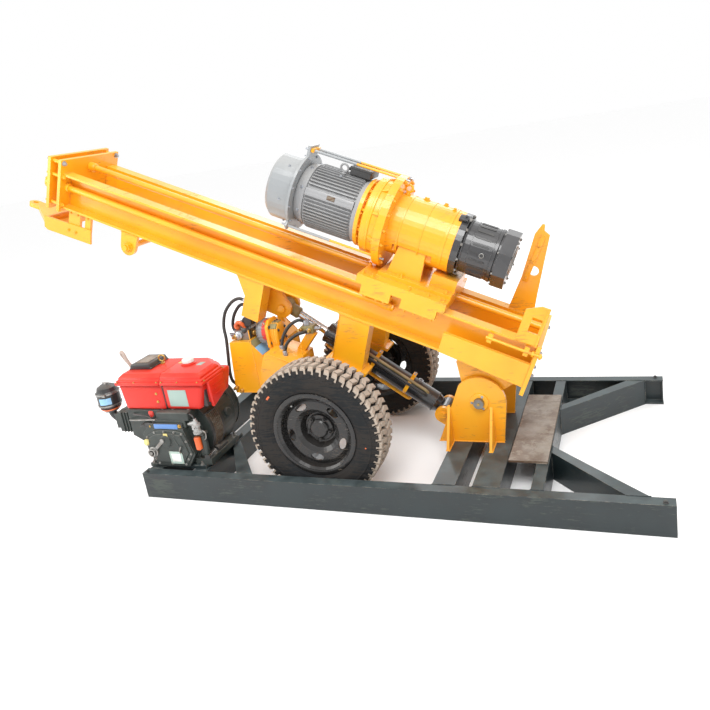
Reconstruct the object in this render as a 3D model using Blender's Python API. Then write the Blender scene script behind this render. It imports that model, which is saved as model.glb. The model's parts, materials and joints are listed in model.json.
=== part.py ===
"""Trailer water well drilling rig: skid frame, diesel engine, hinged mast on
two wheels, lift cylinder, and a motor-driven power head on a sliding carriage.

Metres, +Z up, ground at z = 0.  +X is the drilling end, -Y is the near side.
The mast is drawn lowered, as it is towed.
"""
import bpy
import bmesh
import math
from mathutils import Vector

GAP = 0.0003            # slit between pieces that touch

# Skid frame
RAIL_L = 2.70
RAIL_X0 = -0.87
RAIL_X1 = RAIL_X0 + RAIL_L
HALF_W = 0.68
RAIL_B = 0.060
RAIL_H = 0.150
WALL = 0.008
CROSS_A = (0.790, 0.900)        # x range of each cross member
CROSS_B = (0.980, 1.105)
CROSS_C = (1.244, 1.300)
CROSS_FRONT = (-0.855, -0.775)
CROSS_MID = (-0.560, -0.480)
CROSS = [
    # name, x0, x1
    ("cross_a", *CROSS_A),
    ("cross_b", *CROSS_B),
    ("cross_c", *CROSS_C),
    ("cross_front", *CROSS_FRONT),
    ("cross_mid", *CROSS_MID),
]

# Mast hinge and lift cylinder
PIVOT = (0.955, 0.375)  # mast hinge, x and z
PIN_R = 0.025
BR_Z = RAIL_H + GAP
BR_R = 0.135            # round top of the brackets
BR_IN, BR_OUTER = 0.165, 0.185
TAIL = (0.725, 0.250)   # lower pin of the lift cylinder, x and z
LIFT_PIN = 0.020
LIFT_R = 0.055
ROD_R = 0.0230
ROD_S = 1.428           # upper pin of the lift cylinder, along the mast
ROD_T = -0.151

# Mast
MAST_DEG = 23.7         # mast angle over the ground when lowered
MAST_X = -1.384         # where the mast's lower edge meets the head plate
MAST_Z = 1.602
MAST_LEN = 2.80         # head plate to foot plate
BEAM_OUT = 0.225        # outer edge of the beams' flanges
BEAM_WEB = 0.150        # back of the beams' webs
BEAM_T0 = 0.020
BEAM_T1 = 0.225
FLANGE = 0.012
PLATE = 0.020           # thickness of the head and foot plates
HEAD_S = 0.008          # front face of the inner head plate
FOOT_T = 0.420          # top of the foot plate
SIDE_Y, SIDE_T = 0.186, 0.140
SIDE_END = 2.060
FEED_T, FEED_R = 0.243, 0.018
HITCH_EYE = (-0.3900, -0.122)   # towing eye, s and t
LUG_S, LUG_T = 0.490, -0.060
STRUT_S = 1.823
EAR = (2.635, -0.1833)

# Wheels
WHEEL_X = 0.190
WHEEL_R = 0.365
TYRE_B = 0.190
WHEEL_Y = HALF_W - RAIL_B - 0.035 - TYRE_B / 2
RIM_R = 0.2030          # bead seat of a 16 inch rim
RIM_LIP = 0.2260
HUB_IN = 0.020

# Power head, on the drilling axis
AXIS_T = 0.515          # drilling axis over the mast's lower edge
HEAD_END = MAST_LEN - 0.255
RING_R = 0.240
MOTOR_R = 0.172

# Engine: crank axis (x, z), near face, hopper (x0, x1, y0, y1) and its heights
CRANK = (-0.660, 0.360)
BED = (-0.865, CROSS_MID[1] - 0.010, -0.600, -0.200)
ENGINE_Y = -0.615
HOPPER = (-0.995, -0.405, -0.580, -0.264)
HOPPER_Z = 0.487
HOPPER_TOP = 0.694
AIR = (-1.207, -0.430)

# Hydraulics on the mast
TANK_X = (-0.420, -0.222)
TANK_TOP = 0.752
PUMP = (-0.185, -0.145, 0.788)
HOSE_R = 0.0095

A = math.radians(MAST_DEG)
SX, SZ = math.cos(A), -math.sin(A)
TX, TZ = math.sin(A), math.cos(A)


for old in list(bpy.data.objects):
    bpy.data.objects.remove(old)

coll = bpy.data.collections.new("water_well_drilling_rig")
bpy.context.scene.collection.children.link(coll)
cut_coll = bpy.data.collections.new("cutters")
bpy.context.scene.collection.children.link(cut_coll)


def world(x, y, z):
    """Point given in the part's own frame."""
    return Vector((x, y, z))


def mast(s, y, t):
    """Point given along the mast, across it and square to it."""
    return Vector((MAST_X + s * SX + t * TX, y, MAST_Z + s * SZ + t * TZ))


def along(x, z):
    """Place along and square to the mast of a point given in x and z."""
    return (x - MAST_X) * SX + (z - MAST_Z) * SZ, (x - MAST_X) * TX + (z - MAST_Z) * TZ


def xz(a, b, c):
    """Outline in x and z, thickness along y."""
    return world(a, c, b)


def xy(a, b, c):
    """Outline in x and y, thickness along z."""
    return world(a, b, c)


def yz(a, b, c):
    """Outline in y and z, thickness along x."""
    return world(c, a, b)


def st(a, b, c):
    """Outline in s and t of the mast, thickness along y."""
    return mast(a, c, b)


def yt(a, b, c):
    """Outline across the mast, thickness along it."""
    return mast(c, a, b)


def sy(a, b, c):
    """Outline in s and y of the mast, thickness square to it."""
    return mast(a, b, c)


PIVOT_P = world(PIVOT[0], 0, PIVOT[1])
TAIL_P = world(TAIL[0], 0, TAIL[1])
ROD_P = mast(ROD_S, 0, ROD_T)
SPIN_P = mast(HEAD_END - 0.145, 0, AXIS_T)
MAST_DIR = Vector((SX, 0, SZ))
LIFT_LEN = (ROD_P - TAIL_P).length
LIFT_DIR = (ROD_P - TAIL_P).normalized()


def material(name, rgb, metallic, rough):
    m = bpy.data.materials.new(name)
    m.use_nodes = True
    b = m.node_tree.nodes["Principled BSDF"]
    b.inputs["Base Color"].default_value = (*rgb, 1)
    b.inputs["Metallic"].default_value = metallic
    b.inputs["Roughness"].default_value = rough
    m.diffuse_color = (*rgb, 1)
    return m


PAINTS = {
    # name: (colour, metallic, roughness)
    "yellow": ((0.90, 0.42, 0.02), 0.0, 0.35),
    "black": ((0.022, 0.024, 0.022), 0.0, 0.45),
    "red": ((0.62, 0.03, 0.02), 0.0, 0.30),
    "grey": ((0.20, 0.21, 0.22), 0.0, 0.45),
    "iron": ((0.05, 0.055, 0.05), 0.3, 0.55),
    "chrome": ((0.75, 0.75, 0.75), 1.0, 0.12),
    "rust": ((0.19, 0.12, 0.07), 0.2, 0.75),
    "rubber": ((0.030, 0.029, 0.028), 0.0, 0.85),
    "hose": ((0.020, 0.020, 0.020), 0.0, 0.55),
    "olive": ((0.16, 0.20, 0.10), 0.2, 0.5),
}


def own(name, paint):
    rgb, metallic, rough = PAINTS[paint]
    return material(name + "_" + paint, rgb, metallic, rough)


def finish(name, bm, paint, origin=None, smooth=False):
    """Turn a bmesh with world points into a named object at its origin."""
    origin = Vector(origin) if origin is not None else Vector((0, 0, 0))
    bmesh.ops.recalc_face_normals(bm, faces=bm.faces)
    if bm.calc_volume(signed=True) < 0:
        bmesh.ops.reverse_faces(bm, faces=bm.faces)
    bmesh.ops.translate(bm, verts=bm.verts, vec=-origin)
    me = bpy.data.meshes.new(name)
    bm.to_mesh(me)
    bm.free()
    ob = bpy.data.objects.new(name, me)
    ob.location = origin
    if paint:
        me.materials.append(own(name, paint))
        coll.objects.link(ob)
    else:
        cut_coll.objects.link(ob)
        ob.hide_render = True
        ob.display_type = "WIRE"
    if smooth:
        for p in me.polygons:
            p.use_smooth = True
    return ob


def circle(ca, cb, r, n=24, start=0.0):
    out = []
    for i in range(n):
        w = start + 2 * math.pi * i / n
        out.append((ca + r * math.cos(w), cb + r * math.sin(w)))
    return out


def oval(ca, cb, half_len, half_w, turn, n):
    """Oval hole, its long way round the wheel at the angle given."""
    out = []
    for i in range(n):
        w = 2 * math.pi * i / n
        u, v = half_len * math.cos(w), half_w * math.sin(w)
        out.append((ca - u * math.sin(turn) + v * math.cos(turn),
                    cb + u * math.cos(turn) + v * math.sin(turn)))
    return out


def arc(ca, cb, r, a0, a1, n):
    out = []
    for i in range(n + 1):
        w = math.radians(a0 + (a1 - a0) * i / n)
        out.append((ca + r * math.cos(w), cb + r * math.sin(w)))
    return out


def add_plate(bm, outline, lo, hi, frame, holes=()):
    """Flat outline with holes, given a thickness."""
    edges = []
    for ring in [outline, *holes]:
        vs = [bm.verts.new(frame(a, b, lo)) for a, b in ring]
        for i in range(len(vs)):
            edges.append(bm.edges.new((vs[i - 1], vs[i])))
    made = bmesh.ops.triangle_fill(bm, use_beauty=True, use_dissolve=False, edges=edges)
    faces = [g for g in made["geom"] if isinstance(g, bmesh.types.BMFace)]
    if not holes:
        bmesh.ops.dissolve_faces(bm, faces=faces)
        faces = list({f for e in edges for f in e.link_faces})
    push = frame(0, 0, hi) - frame(0, 0, lo)
    ex = bmesh.ops.extrude_face_region(bm, geom=faces, use_keep_orig=True)
    top = [g for g in ex["geom"] if isinstance(g, bmesh.types.BMVert)]
    bmesh.ops.translate(bm, verts=top, vec=push)


def plate(name, paint, outline, lo, hi, frame, holes=(), origin=None, smooth=False):
    bm = bmesh.new()
    add_plate(bm, outline, lo, hi, frame, holes)
    return finish(name, bm, paint, origin, smooth)


def rect(a0, a1, b0, b1):
    return [(a0, b0), (a1, b0), (a1, b1), (a0, b1)]


def block(name, paint, a, b, c, frame=world, origin=None):
    """Box from three ranges, in the frame asked for."""
    bm = bmesh.new()
    add_plate(bm, rect(*a, *b), c[0], c[1], frame)
    return finish(name, bm, paint, origin)


def add_lathe(bm, base, axis, profile, n=32):
    """Closed profile of (along, radius) turned about an axis."""
    axis = Vector(axis).normalized()
    side = axis.orthogonal().normalized()
    if abs(axis.y) < 0.5:
        side = Vector((0, 1, 0))
    other = axis.cross(side)
    rings = []
    for along, r in profile:
        if r < 1e-6:
            rings.append([bm.verts.new(base + axis * along)])
            continue
        ring = []
        for i in range(n):
            w = 2 * math.pi * i / n
            d = side * math.cos(w) + other * math.sin(w)
            ring.append(bm.verts.new(base + axis * along + d * r))
        rings.append(ring)
    closed = len(rings[0]) > 1 and len(rings[-1]) > 1
    pairs = [(rings[i], rings[i + 1]) for i in range(len(rings) - 1)]
    if closed:
        pairs.append((rings[-1], rings[0]))
    for p, q in pairs:
        for i in range(n):
            j = (i + 1) % n
            if len(p) == 1:
                bm.faces.new((p[0], q[i], q[j]))
            elif len(q) == 1:
                bm.faces.new((p[i], q[0], p[j]))
            else:
                bm.faces.new((p[i], q[i], q[j], p[j]))


def lathe(name, paint, base, axis, profile, n=32, origin=None, smooth=True):
    bm = bmesh.new()
    add_lathe(bm, Vector(base), axis, profile, n)
    ob = finish(name, bm, paint, origin, smooth)
    if smooth and paint:
        ob.data.set_sharp_from_angle(angle=math.radians(35))
    return ob


def rod(r, a, b):
    return [(a, 0), (a, r), (b, r), (b, 0)]


def pipe(name, paint, points, r, n=10, origin=None):
    """Round bar or hose through the given points, with capped ends."""
    bm = bmesh.new()
    pts = [Vector(p) for p in points]
    up = Vector((0, 1, 0.01)).normalized()
    rings = []
    for i, p in enumerate(pts):
        d = (pts[min(i + 1, len(pts) - 1)] - pts[max(i - 1, 0)]).normalized()
        up = (up - d * up.dot(d)).normalized()
        other = d.cross(up)
        ring = []
        for k in range(n):
            w = 2 * math.pi * k / n
            ring.append(bm.verts.new(p + (up * math.cos(w) + other * math.sin(w)) * r))
        rings.append(ring)
    for p, q in zip(rings, rings[1:]):
        for k in range(n):
            m = (k + 1) % n
            bm.faces.new((p[k], q[k], q[m], p[m]))
    bm.faces.new(rings[0])
    bm.faces.new(rings[-1])
    ob = finish(name, bm, paint, origin, True)
    ob.data.set_sharp_from_angle(angle=math.radians(40))
    return ob


def spline(points, steps=5):
    """Catmull-Rom curve through the points."""
    p = [Vector(q) for q in points]
    p = [p[0] * 2 - p[1], *p, p[-1] * 2 - p[-2]]
    out = []
    for i in range(1, len(p) - 2):
        for k in range(steps):
            u = k / steps
            a, b, c, d = p[i - 1], p[i], p[i + 1], p[i + 2]
            out.append(0.5 * ((2 * b) + (c - a) * u + (2 * a - 5 * b + 4 * c - d) * u * u
                              + (3 * b - a - 3 * c + d) * u ** 3))
    out.append(p[-2])
    return out


def cut(ob, cutter, op="DIFFERENCE"):
    m = ob.modifiers.new("cut", "BOOLEAN")
    m.operation = op
    m.solver = "EXACT"
    m.object = cutter


def cut_round(ob, name, base, axis, r, a, b, n=24):
    cut(ob, lathe(name, None, base, axis, rod(r, a, b), n))


def add_block(ob, name, a, b, c, frame=world):
    """Weld a box onto an object; the box must reach into it."""
    cut(ob, block(name, None, a, b, c, frame), "UNION")


# Skid frame: two rails lying on the ground, with cross members between them.
IN_Y = HALF_W - RAIL_B      # the rails' inner edge


def channel(lo, hi, z0, z1, wall, side):
    """C section in y and z, its back at y = lo, open towards y = hi."""
    if side < 0:
        lo, hi, wall_y = -lo, -hi, -wall
    else:
        wall_y = wall
    return [(lo, z0), (hi, z0), (hi, z0 + wall), (lo + wall_y, z0 + wall),
            (lo + wall_y, z1 - wall), (hi, z1 - wall), (hi, z1), (lo, z1)]


def hat(x0, x1):
    """Cross member's section in x and z, open at the bottom."""
    return [(x0, 0), (x0 + WALL, 0), (x0 + WALL, RAIL_H - WALL), (x1 - WALL, RAIL_H - WALL),
            (x1 - WALL, 0), (x1, 0), (x1, RAIL_H), (x0, RAIL_H)]


def skid():
    for name, side in (("rail_near", 1), ("rail_far", -1)):
        plate(name, "black", channel(-HALF_W, -IN_Y, 0, RAIL_H, WALL, side),
              RAIL_X0, RAIL_X1, yz)
    for name, x0, x1 in CROSS:
        plate(name, "black", hat(x0, x1), -(IN_Y - GAP), IN_Y - GAP, xz)
    # diagonals run from cross member c out to the ends of the rails
    tip, root = IN_Y - GAP, CROSS_C[1] + GAP
    diag = [(root, tip - 0.4147), (root, tip - 0.3497), (RAIL_X1 - 0.19, tip), (RAIL_X1 - 0.095, tip)]
    for name, side in (("diagonal_near", -1), ("diagonal_far", 1)):
        plate(name, "black", [(x, side * y) for x, y in diag], 0.0, RAIL_H, xy)
    root = CROSS_MID[1] + GAP
    plate("diagonal_engine", "black", [(root, -tip + 0.37), (root, -tip + 0.29),
                                       (root + 0.19, -tip), (root + 0.29, -tip)],
          RAIL_H - 0.060, RAIL_H, xy)
    plate("landing_plate", "rust", rect(1.112, 1.296, -0.385, 0.385), RAIL_H + GAP,
          RAIL_H + 0.012, xy)
    plate("engine_bed", "black", rect(BED[0], BED[1], BED[2], BED[3]), RAIL_H + GAP,
          RAIL_H + 0.020, xy)


# Mast hinge: two upright brackets with ribs, and a pin through both.
def hinge_brackets():
    x, z = PIVOT
    outline = [(x - 0.233, BR_Z), (x + 0.107, BR_Z), (x + 0.133, z - 0.02),
               *arc(x, z, BR_R, 0, 138, 12)]
    for name, side in (("bracket_near", -1), ("bracket_far", 1)):
        lo, hi = sorted((side * BR_IN, side * BR_OUTER))
        ob = plate(name, "yellow", outline, lo, hi, xz,
                   holes=[circle(x, z, PIN_R + 0.0008, 20)])
        for k, rib_x in enumerate((x - 0.170, x + 0.050)):
            rib = [(side * (BR_OUTER - 0.004), BR_Z), (side * (BR_OUTER + 0.115), BR_Z),
                   (side * (BR_OUTER + 0.100), BR_Z + 0.030),
                   (side * (BR_OUTER - 0.004), z - 0.020)]
            cut(ob, plate(f"{name}_rib{k}", None, rib, rib_x, rib_x + 0.014, yz), "UNION")
    end = BR_OUTER + 0.030
    lathe("hinge_pin", "iron", PIVOT_P, (0, 1, 0),
          [(-end, 0), (-end, PIN_R + 0.001), (-BR_OUTER - GAP, PIN_R + 0.001),
           (-BR_OUTER - GAP, PIN_R), (BR_OUTER + GAP, PIN_R), (BR_OUTER + GAP, PIN_R + 0.001),
           (end, PIN_R + 0.001), (end, 0)], 20)


def tail_lugs():
    """Two lugs with a pin, on cross member a, for the lift cylinder's tail."""
    x, z = TAIL
    outline = [(CROSS_A[0], BR_Z), (CROSS_A[1] - 0.015, BR_Z), (CROSS_A[1] - 0.015, z - 0.050),
               *arc(x, z, 0.045, 10, 250, 12)]
    ob = plate("tail_lugs", "yellow", outline, -0.085, 0.085, xz)
    cut(ob, block("tail_slot", None, (x - 0.13, x + 0.100), (-0.060, 0.060), (0.0, 0.60)))
    cut(ob, lathe("tail_pin", None, TAIL_P, (0, 1, 0), rod(LIFT_PIN, -0.098, 0.098), 20), "UNION")


# Mast: two channel beams between a head plate and a foot plate.
def beams():
    cheek = [(MAST_LEN - 0.44, 0.024), (MAST_LEN - 2 * GAP, 0.004), (MAST_LEN - 2 * GAP, 0.130),
             (MAST_LEN - 0.44, 0.130)]
    for name, side in (("beam_near", -1), ("beam_far", 1)):
        o, w, wt = side * BEAM_OUT, side * BEAM_WEB, side * 0.009
        prof = [(o, BEAM_T0), (w, BEAM_T0), (w, BEAM_T1), (o, BEAM_T1), (o, BEAM_T1 - FLANGE),
                (w + wt, BEAM_T1 - FLANGE), (w + wt, BEAM_T0 + FLANGE), (o, BEAM_T0 + FLANGE)]
        ob = plate(name, "yellow", prof, HEAD_S + GAP, MAST_LEN - GAP, yt, origin=PIVOT_P)
        lo, hi = sorted((side * (BEAM_OUT - 0.010), side * (BEAM_OUT + 0.015)))
        cut(ob, plate(name + "_cheek", None, cheek, lo, hi, st), "UNION")


def head_plates():
    """Two plates over a spacer, with bosses behind for the side tubes."""
    w = BEAM_OUT + 0.022
    outline = rect(-w, w, 0.0, 0.305)
    holes = [circle(side * BEAM_OUT, t, 0.0103, 12) for side in (-1, 1)
             for t in (0.285, 0.205, 0.040)]
    ob = plate("head_plate_inner", "yellow", outline, HEAD_S - PLATE, HEAD_S, yt, holes, PIVOT_P)
    back = HEAD_S - PLATE - 0.054
    cut(ob, plate("head_spacer", None, rect(-0.120, 0.120, 0.060, 0.250), back + GAP,
                  HEAD_S - 0.006, yt), "UNION")
    ob = plate("head_plate_outer", "yellow", outline, back - PLATE, back, yt, holes, PIVOT_P)
    for k, side in enumerate((-1, 1)):
        cut(ob, lathe(f"head_boss{k}", None, mast(back - PLATE - 0.036, side * SIDE_Y, SIDE_T),
                      MAST_DIR, rod(0.040, 0.0, 0.040), 20), "UNION")


def foot():
    """Foot plate, a windowed gusset over the near beam, and the guide plate."""
    ob = plate("foot_plate", "yellow", rect(-0.247, 0.247, -0.035, BEAM_T1 + 0.010), MAST_LEN,
               MAST_LEN + PLATE, yt, origin=PIVOT_P)
    s0, s1 = MAST_LEN - 0.110, MAST_LEN + 0.004
    low = BEAM_T1 + 0.0006
    gusset = [(s0, low), (s1, low), (s1, low + 0.006), (s1 - 0.006, low + 0.014),
              (s1 - 0.006, FOOT_T), (s1 - 0.048, FOOT_T), (s0, FOOT_T - 0.036)]
    window = rect(MAST_LEN - 0.068, MAST_LEN - 0.020, 0.282, 0.358)
    cut(ob, plate("foot_gusset", None, gusset, -BEAM_OUT - 0.008, -BEAM_OUT + 0.006, st, [window]),
        "UNION")
    cut(ob, block("gusset_lip", None, (MAST_LEN - 0.012, MAST_LEN - 0.0035), (-0.247, -0.212),
                  (low + 0.0012, FOOT_T - 0.003), mast), "UNION")
    s = MAST_LEN
    guide = [(s - 0.205, BEAM_T1 + 0.0004), (s - 0.070, BEAM_T1 + 0.0004), (s - 0.090, 0.345),
             (s - 0.134, 0.655), (s - 0.166, 0.668), (s - 0.174, 0.698), (s - 0.187, 0.698),
             (s - 0.206, 0.640), (s - 0.196, 0.410)]
    plate("guide_plate", "yellow", guide, 0.166, 0.182, st,
          [circle(s - 0.148, 0.455, 0.026, 16)], PIVOT_P)


def tubes():
    for name, side in (("side_tube_near", -1), ("side_tube_far", 1)):
        lathe(name, "yellow", mast(0, side * SIDE_Y, SIDE_T), MAST_DIR,
              [(HEAD_S + GAP, 0), (HEAD_S + GAP, 0.017), (SIDE_END - 0.050, 0.017),
               (SIDE_END - 0.050, 0.022), (SIDE_END, 0.022), (SIDE_END, 0)], 14, PIVOT_P)
    lathe("feed_tube", "yellow", mast(0, 0, FEED_T), MAST_DIR,
          [(HEAD_S + GAP, 0), (HEAD_S + GAP, 0.028), (HEAD_S + 0.035, 0.028),
           (HEAD_S + 0.035, FEED_R), (MAST_LEN - GAP, FEED_R), (MAST_LEN - GAP, 0)], 16, PIVOT_P)


def hitch():
    """Towing frame hung under the head: side plates, a front plate and an eye bar."""
    side_plate = [(-0.095, -0.150), (-0.118, -0.135), (-0.124, -0.070), (0.215, -0.055),
                  (0.222, -0.140)]
    ob = plate("hitch", "yellow", rect(-0.121, -0.108, -0.143, -0.073), -0.211, 0.211, st,
               origin=PIVOT_P)
    eye_s, eye_t = HITCH_EYE
    eye = [(-0.050, -0.2065), (-0.050, 0.2065), (-0.116, 0.2065), (eye_s + 0.055, 0.036),
           *arc(eye_s, 0.0, 0.038, 80, 280, 10), (eye_s + 0.055, -0.036), (-0.116, -0.2065)]
    cut(ob, plate("hitch_bar", None, eye, eye_t - 0.013, eye_t + 0.013, sy,
                  [circle(eye_s, 0.0, 0.0165, 16)]), "UNION")
    for k, side in enumerate((-1, 1)):
        lo, hi = sorted((side * 0.204, side * 0.216))
        cut(ob, plate(f"hitch_side{k}", None, side_plate, lo, hi, st), "UNION")
        for j, (s0, s1) in enumerate(((0.047, 0.128), (0.165, 0.203))):
            hang = rect(s0, s1, -0.080, BEAM_T0 - GAP)
            cut(ob, plate(f"hitch_hang{k}{j}", None, hang, *sorted((side * 0.186, side * 0.206)),
                          st), "UNION")


def stay_lugs():
    """Round-ended lugs under the beams, tied by a bar."""
    outline = [(LUG_S - 0.055, BEAM_T0 - GAP), (LUG_S - 0.050, LUG_T),
               *arc(LUG_S, LUG_T, 0.050, 180, 360, 10), (LUG_S + 0.055, BEAM_T0 - GAP)]
    ob = plate("stay_lugs", "yellow", outline, -0.228, 0.228, st, origin=PIVOT_P)
    cut(ob, block("lug_gap", None, (LUG_S - 0.2, LUG_S + 0.2), (-0.206, 0.206),
                  (LUG_T - 0.2, BEAM_T0 + 0.1), mast))
    cut(ob, lathe("lug_pin", None, mast(LUG_S, 0, LUG_T), (0, 1, 0), rod(0.017, -0.262, 0.262), 16),
        "UNION")


def rear_post():
    """Posts under the beams, tied by a cross piece that holds the lift cylinder's rod."""
    s = ROD_S
    post = [(s - 0.239, BEAM_T0 - GAP), (s - 0.070, BEAM_T0 - GAP), (s - 0.063, -0.212),
            (s - 0.168, -0.208), (s - 0.168, -0.087)]
    eye = [(s - 0.160, -0.065), (s - 0.020, -0.060), *arc(s, ROD_T, 0.056, 70, -110, 12),
           (s - 0.160, -0.198)]
    ob = plate("rear_post", "yellow", eye, -0.066, 0.066, st, origin=PIVOT_P)
    cut(ob, block("rod_slot", None, (s - 0.090, s + 0.2), (-0.042, 0.042), (-0.30, 0.05), mast))
    cut(ob, block("post_tie", None, (s - 0.162, s - 0.093), (-0.170, 0.170), (-0.190, -0.040), mast),
        "UNION")
    for k, side in enumerate((-1, 1)):
        cut(ob, plate(f"post{k}", None, post, *sorted((side * 0.120, side * 0.217)), st), "UNION")
        cut(ob, lathe(f"rod_pin{k}", None, ROD_P, (0, 1, 0),
                      rod(0.022, *sorted((side * 0.057, side * 0.080))), 20), "UNION")


def struts():
    """Struts down to the axle, each on a bolted flange and a seat."""
    s = STRUT_S
    leg = [(s - 0.011, BEAM_T0 - GAP), (s + 0.162, BEAM_T0 - GAP), (s + 0.187, -0.255),
           (s + 0.012, -0.255)]
    top = [mast(s + 0.012, 0, -0.250), mast(s + 0.187, 0, -0.250)]
    seat = [(top[0].x, top[0].z), (top[1].x, top[1].z), (WHEEL_X + 0.055, WHEEL_R + 0.0353),
            (WHEEL_X - 0.055, WHEEL_R + 0.0353)]
    flange = rect(s - 0.023, s + 0.217, -0.245, -0.262)
    for name, side in (("strut_near", -1), ("strut_far", 1)):
        ob = plate(name, "yellow", leg, *sorted((side * 0.140, side * BEAM_OUT)), st, origin=PIVOT_P)
        cut(ob, plate(name + "_flange", None, flange, *sorted((side * 0.130, side * 0.247)), st),
            "UNION")
        cut(ob, plate(name + "_seat", None, seat, *sorted((side * 0.155, side * 0.220)), xz), "UNION")
    half = 0.035
    ob = plate("axle", "black", rect(WHEEL_X - half, WHEEL_X + half, WHEEL_R - half,
                                     WHEEL_R + half), -0.330, 0.330, xz, origin=PIVOT_P)
    end = WHEEL_Y - HUB_IN - GAP
    cut(ob, lathe("stub", None, world(WHEEL_X, 0, WHEEL_R), (0, 1, 0), rod(0.030, -end, end), 24),
        "UNION")


def hinge_ears():
    """Ears round the hinge pin, on a cross piece between the beams."""
    s, t = EAR
    outline = [(s - 0.180, -0.030), (s - 0.165, 0.0), (s + 0.145, 0.0), (s + 0.085, -0.090),
               *arc(s, t, 0.062, 20, -200, 16), (s - 0.120, -0.130)]
    ob = plate("hinge_ears", "yellow", outline, -0.155, 0.155, st,
               holes=[circle(s, t, PIN_R + 0.0008, 20)], origin=PIVOT_P)
    cut(ob, block("ear_slot", None, (s - 0.4, s + 0.3), (-0.125, 0.125), (-0.35, -0.020), mast))
    cut(ob, block("foot_cross", None, (s - 0.235, MAST_LEN - 0.001), (-BEAM_WEB + GAP, BEAM_WEB - GAP),
                  (-0.010, 0.060), mast), "UNION")


# Lift cylinder, its hard pipe, and the wheels.
def lift_cylinder():
    barrel = [(0.040, 0), (0.040, 0.042), (0.070, LIFT_R), (0.705, LIFT_R), (0.705, LIFT_R + 0.003),
              (0.788, LIFT_R + 0.003), (0.788, ROD_R + 0.0026), (0.100, ROD_R + 0.0026), (0.100, 0)]
    ob = lathe("lift_barrel", "black", TAIL_P, LIFT_DIR, barrel, 28, TAIL_P)
    cut(ob, lathe("tail_eye", None, TAIL_P, (0, 1, 0), rod(0.045, -0.052, 0.052), 24), "UNION")
    cut_round(ob, "tail_bore", TAIL_P, (0, 1, 0), LIFT_PIN + 0.0006, -0.2, 0.2, 20)
    ob = lathe("lift_rod", "chrome", TAIL_P, LIFT_DIR,
               [(0.420, 0), (0.420, ROD_R + 0.0018), (0.440, ROD_R + 0.0018), (0.440, ROD_R),
                (LIFT_LEN - 0.095, ROD_R), (LIFT_LEN - 0.085, 0.034), (LIFT_LEN - 0.035, 0.034),
                (LIFT_LEN - 0.035, 0)], 24, ROD_P)
    cut(ob, lathe("rod_eye", None, ROD_P, (0, 1, 0), rod(0.042, -0.036, 0.036), 24), "UNION")
    side = Vector((LIFT_DIR.z, 0, -LIFT_DIR.x)) * -1.0
    off = LIFT_R + 0.0213
    points = [(0.200, LIFT_R + GAP), (0.200, off - 0.010), (0.204, off - 0.003), (0.215, off),
              (0.742, off), (0.753, off - 0.003), (0.757, off - 0.010), (0.757, LIFT_R + 0.0033)]
    pipe("lift_pipe", "yellow", [TAIL_P + LIFT_DIR * a + side * b for a, b in points], 0.0105, 10,
         TAIL_P)


def wheels():
    h, seat, lip = TYRE_B / 2, RIM_R, RIM_LIP
    crown = [(h - 0.004, WHEEL_R - 0.045), (h - 0.014, WHEEL_R - 0.014), (h - 0.034, WHEEL_R)]
    wall = [(0.070, seat + GAP), (0.071, lip + 0.003), (h - 0.005, lip + 0.030), (h, lip + 0.062)]
    half = wall + crown
    tyre = [(-a, r) for a, r in half] + [(a, r) for a, r in reversed(half)]
    dish = [(-HUB_IN, 0), (-HUB_IN, 0.090), (0.018, 0.108), (0.032, 0.128), (0.034, 0.165),
            (0.020, 0.184), (-0.070, 0.190), (-0.0805, 0.202), (-0.0805, lip), (-0.0725, lip),
            (-0.0725, seat), (0.0725, seat), (0.0725, lip), (0.0805, lip), (0.0805, 0.202),
            (0.070, 0.190), (0.034, 0.187), (0.044, 0.166), (0.041, 0.122), (0.026, 0.099),
            (-0.010, 0.083), (-0.010, 0.050), (0.015, 0.050), (0.022, 0.042), (0.022, 0)]
    for name, side in (("near", -1), ("far", 1)):
        c = world(WHEEL_X, side * WHEEL_Y, WHEEL_R)
        lathe("tyre_" + name, "rubber", c, (0, side, 0), tyre, 40, c)
        ob = lathe("rim_" + name, "black", c, (0, side, 0), dish, 40, c)
        for k in range(5):
            w = math.radians(-99 + 72 * k)
            hole = oval(c.x + 0.147 * math.cos(w), c.z + 0.147 * math.sin(w), 0.036, 0.019, w, 14)
            cut(ob, plate(f"hand_{name}{k}", None, hole, c.y - 0.075, c.y + 0.075, xz))


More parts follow.
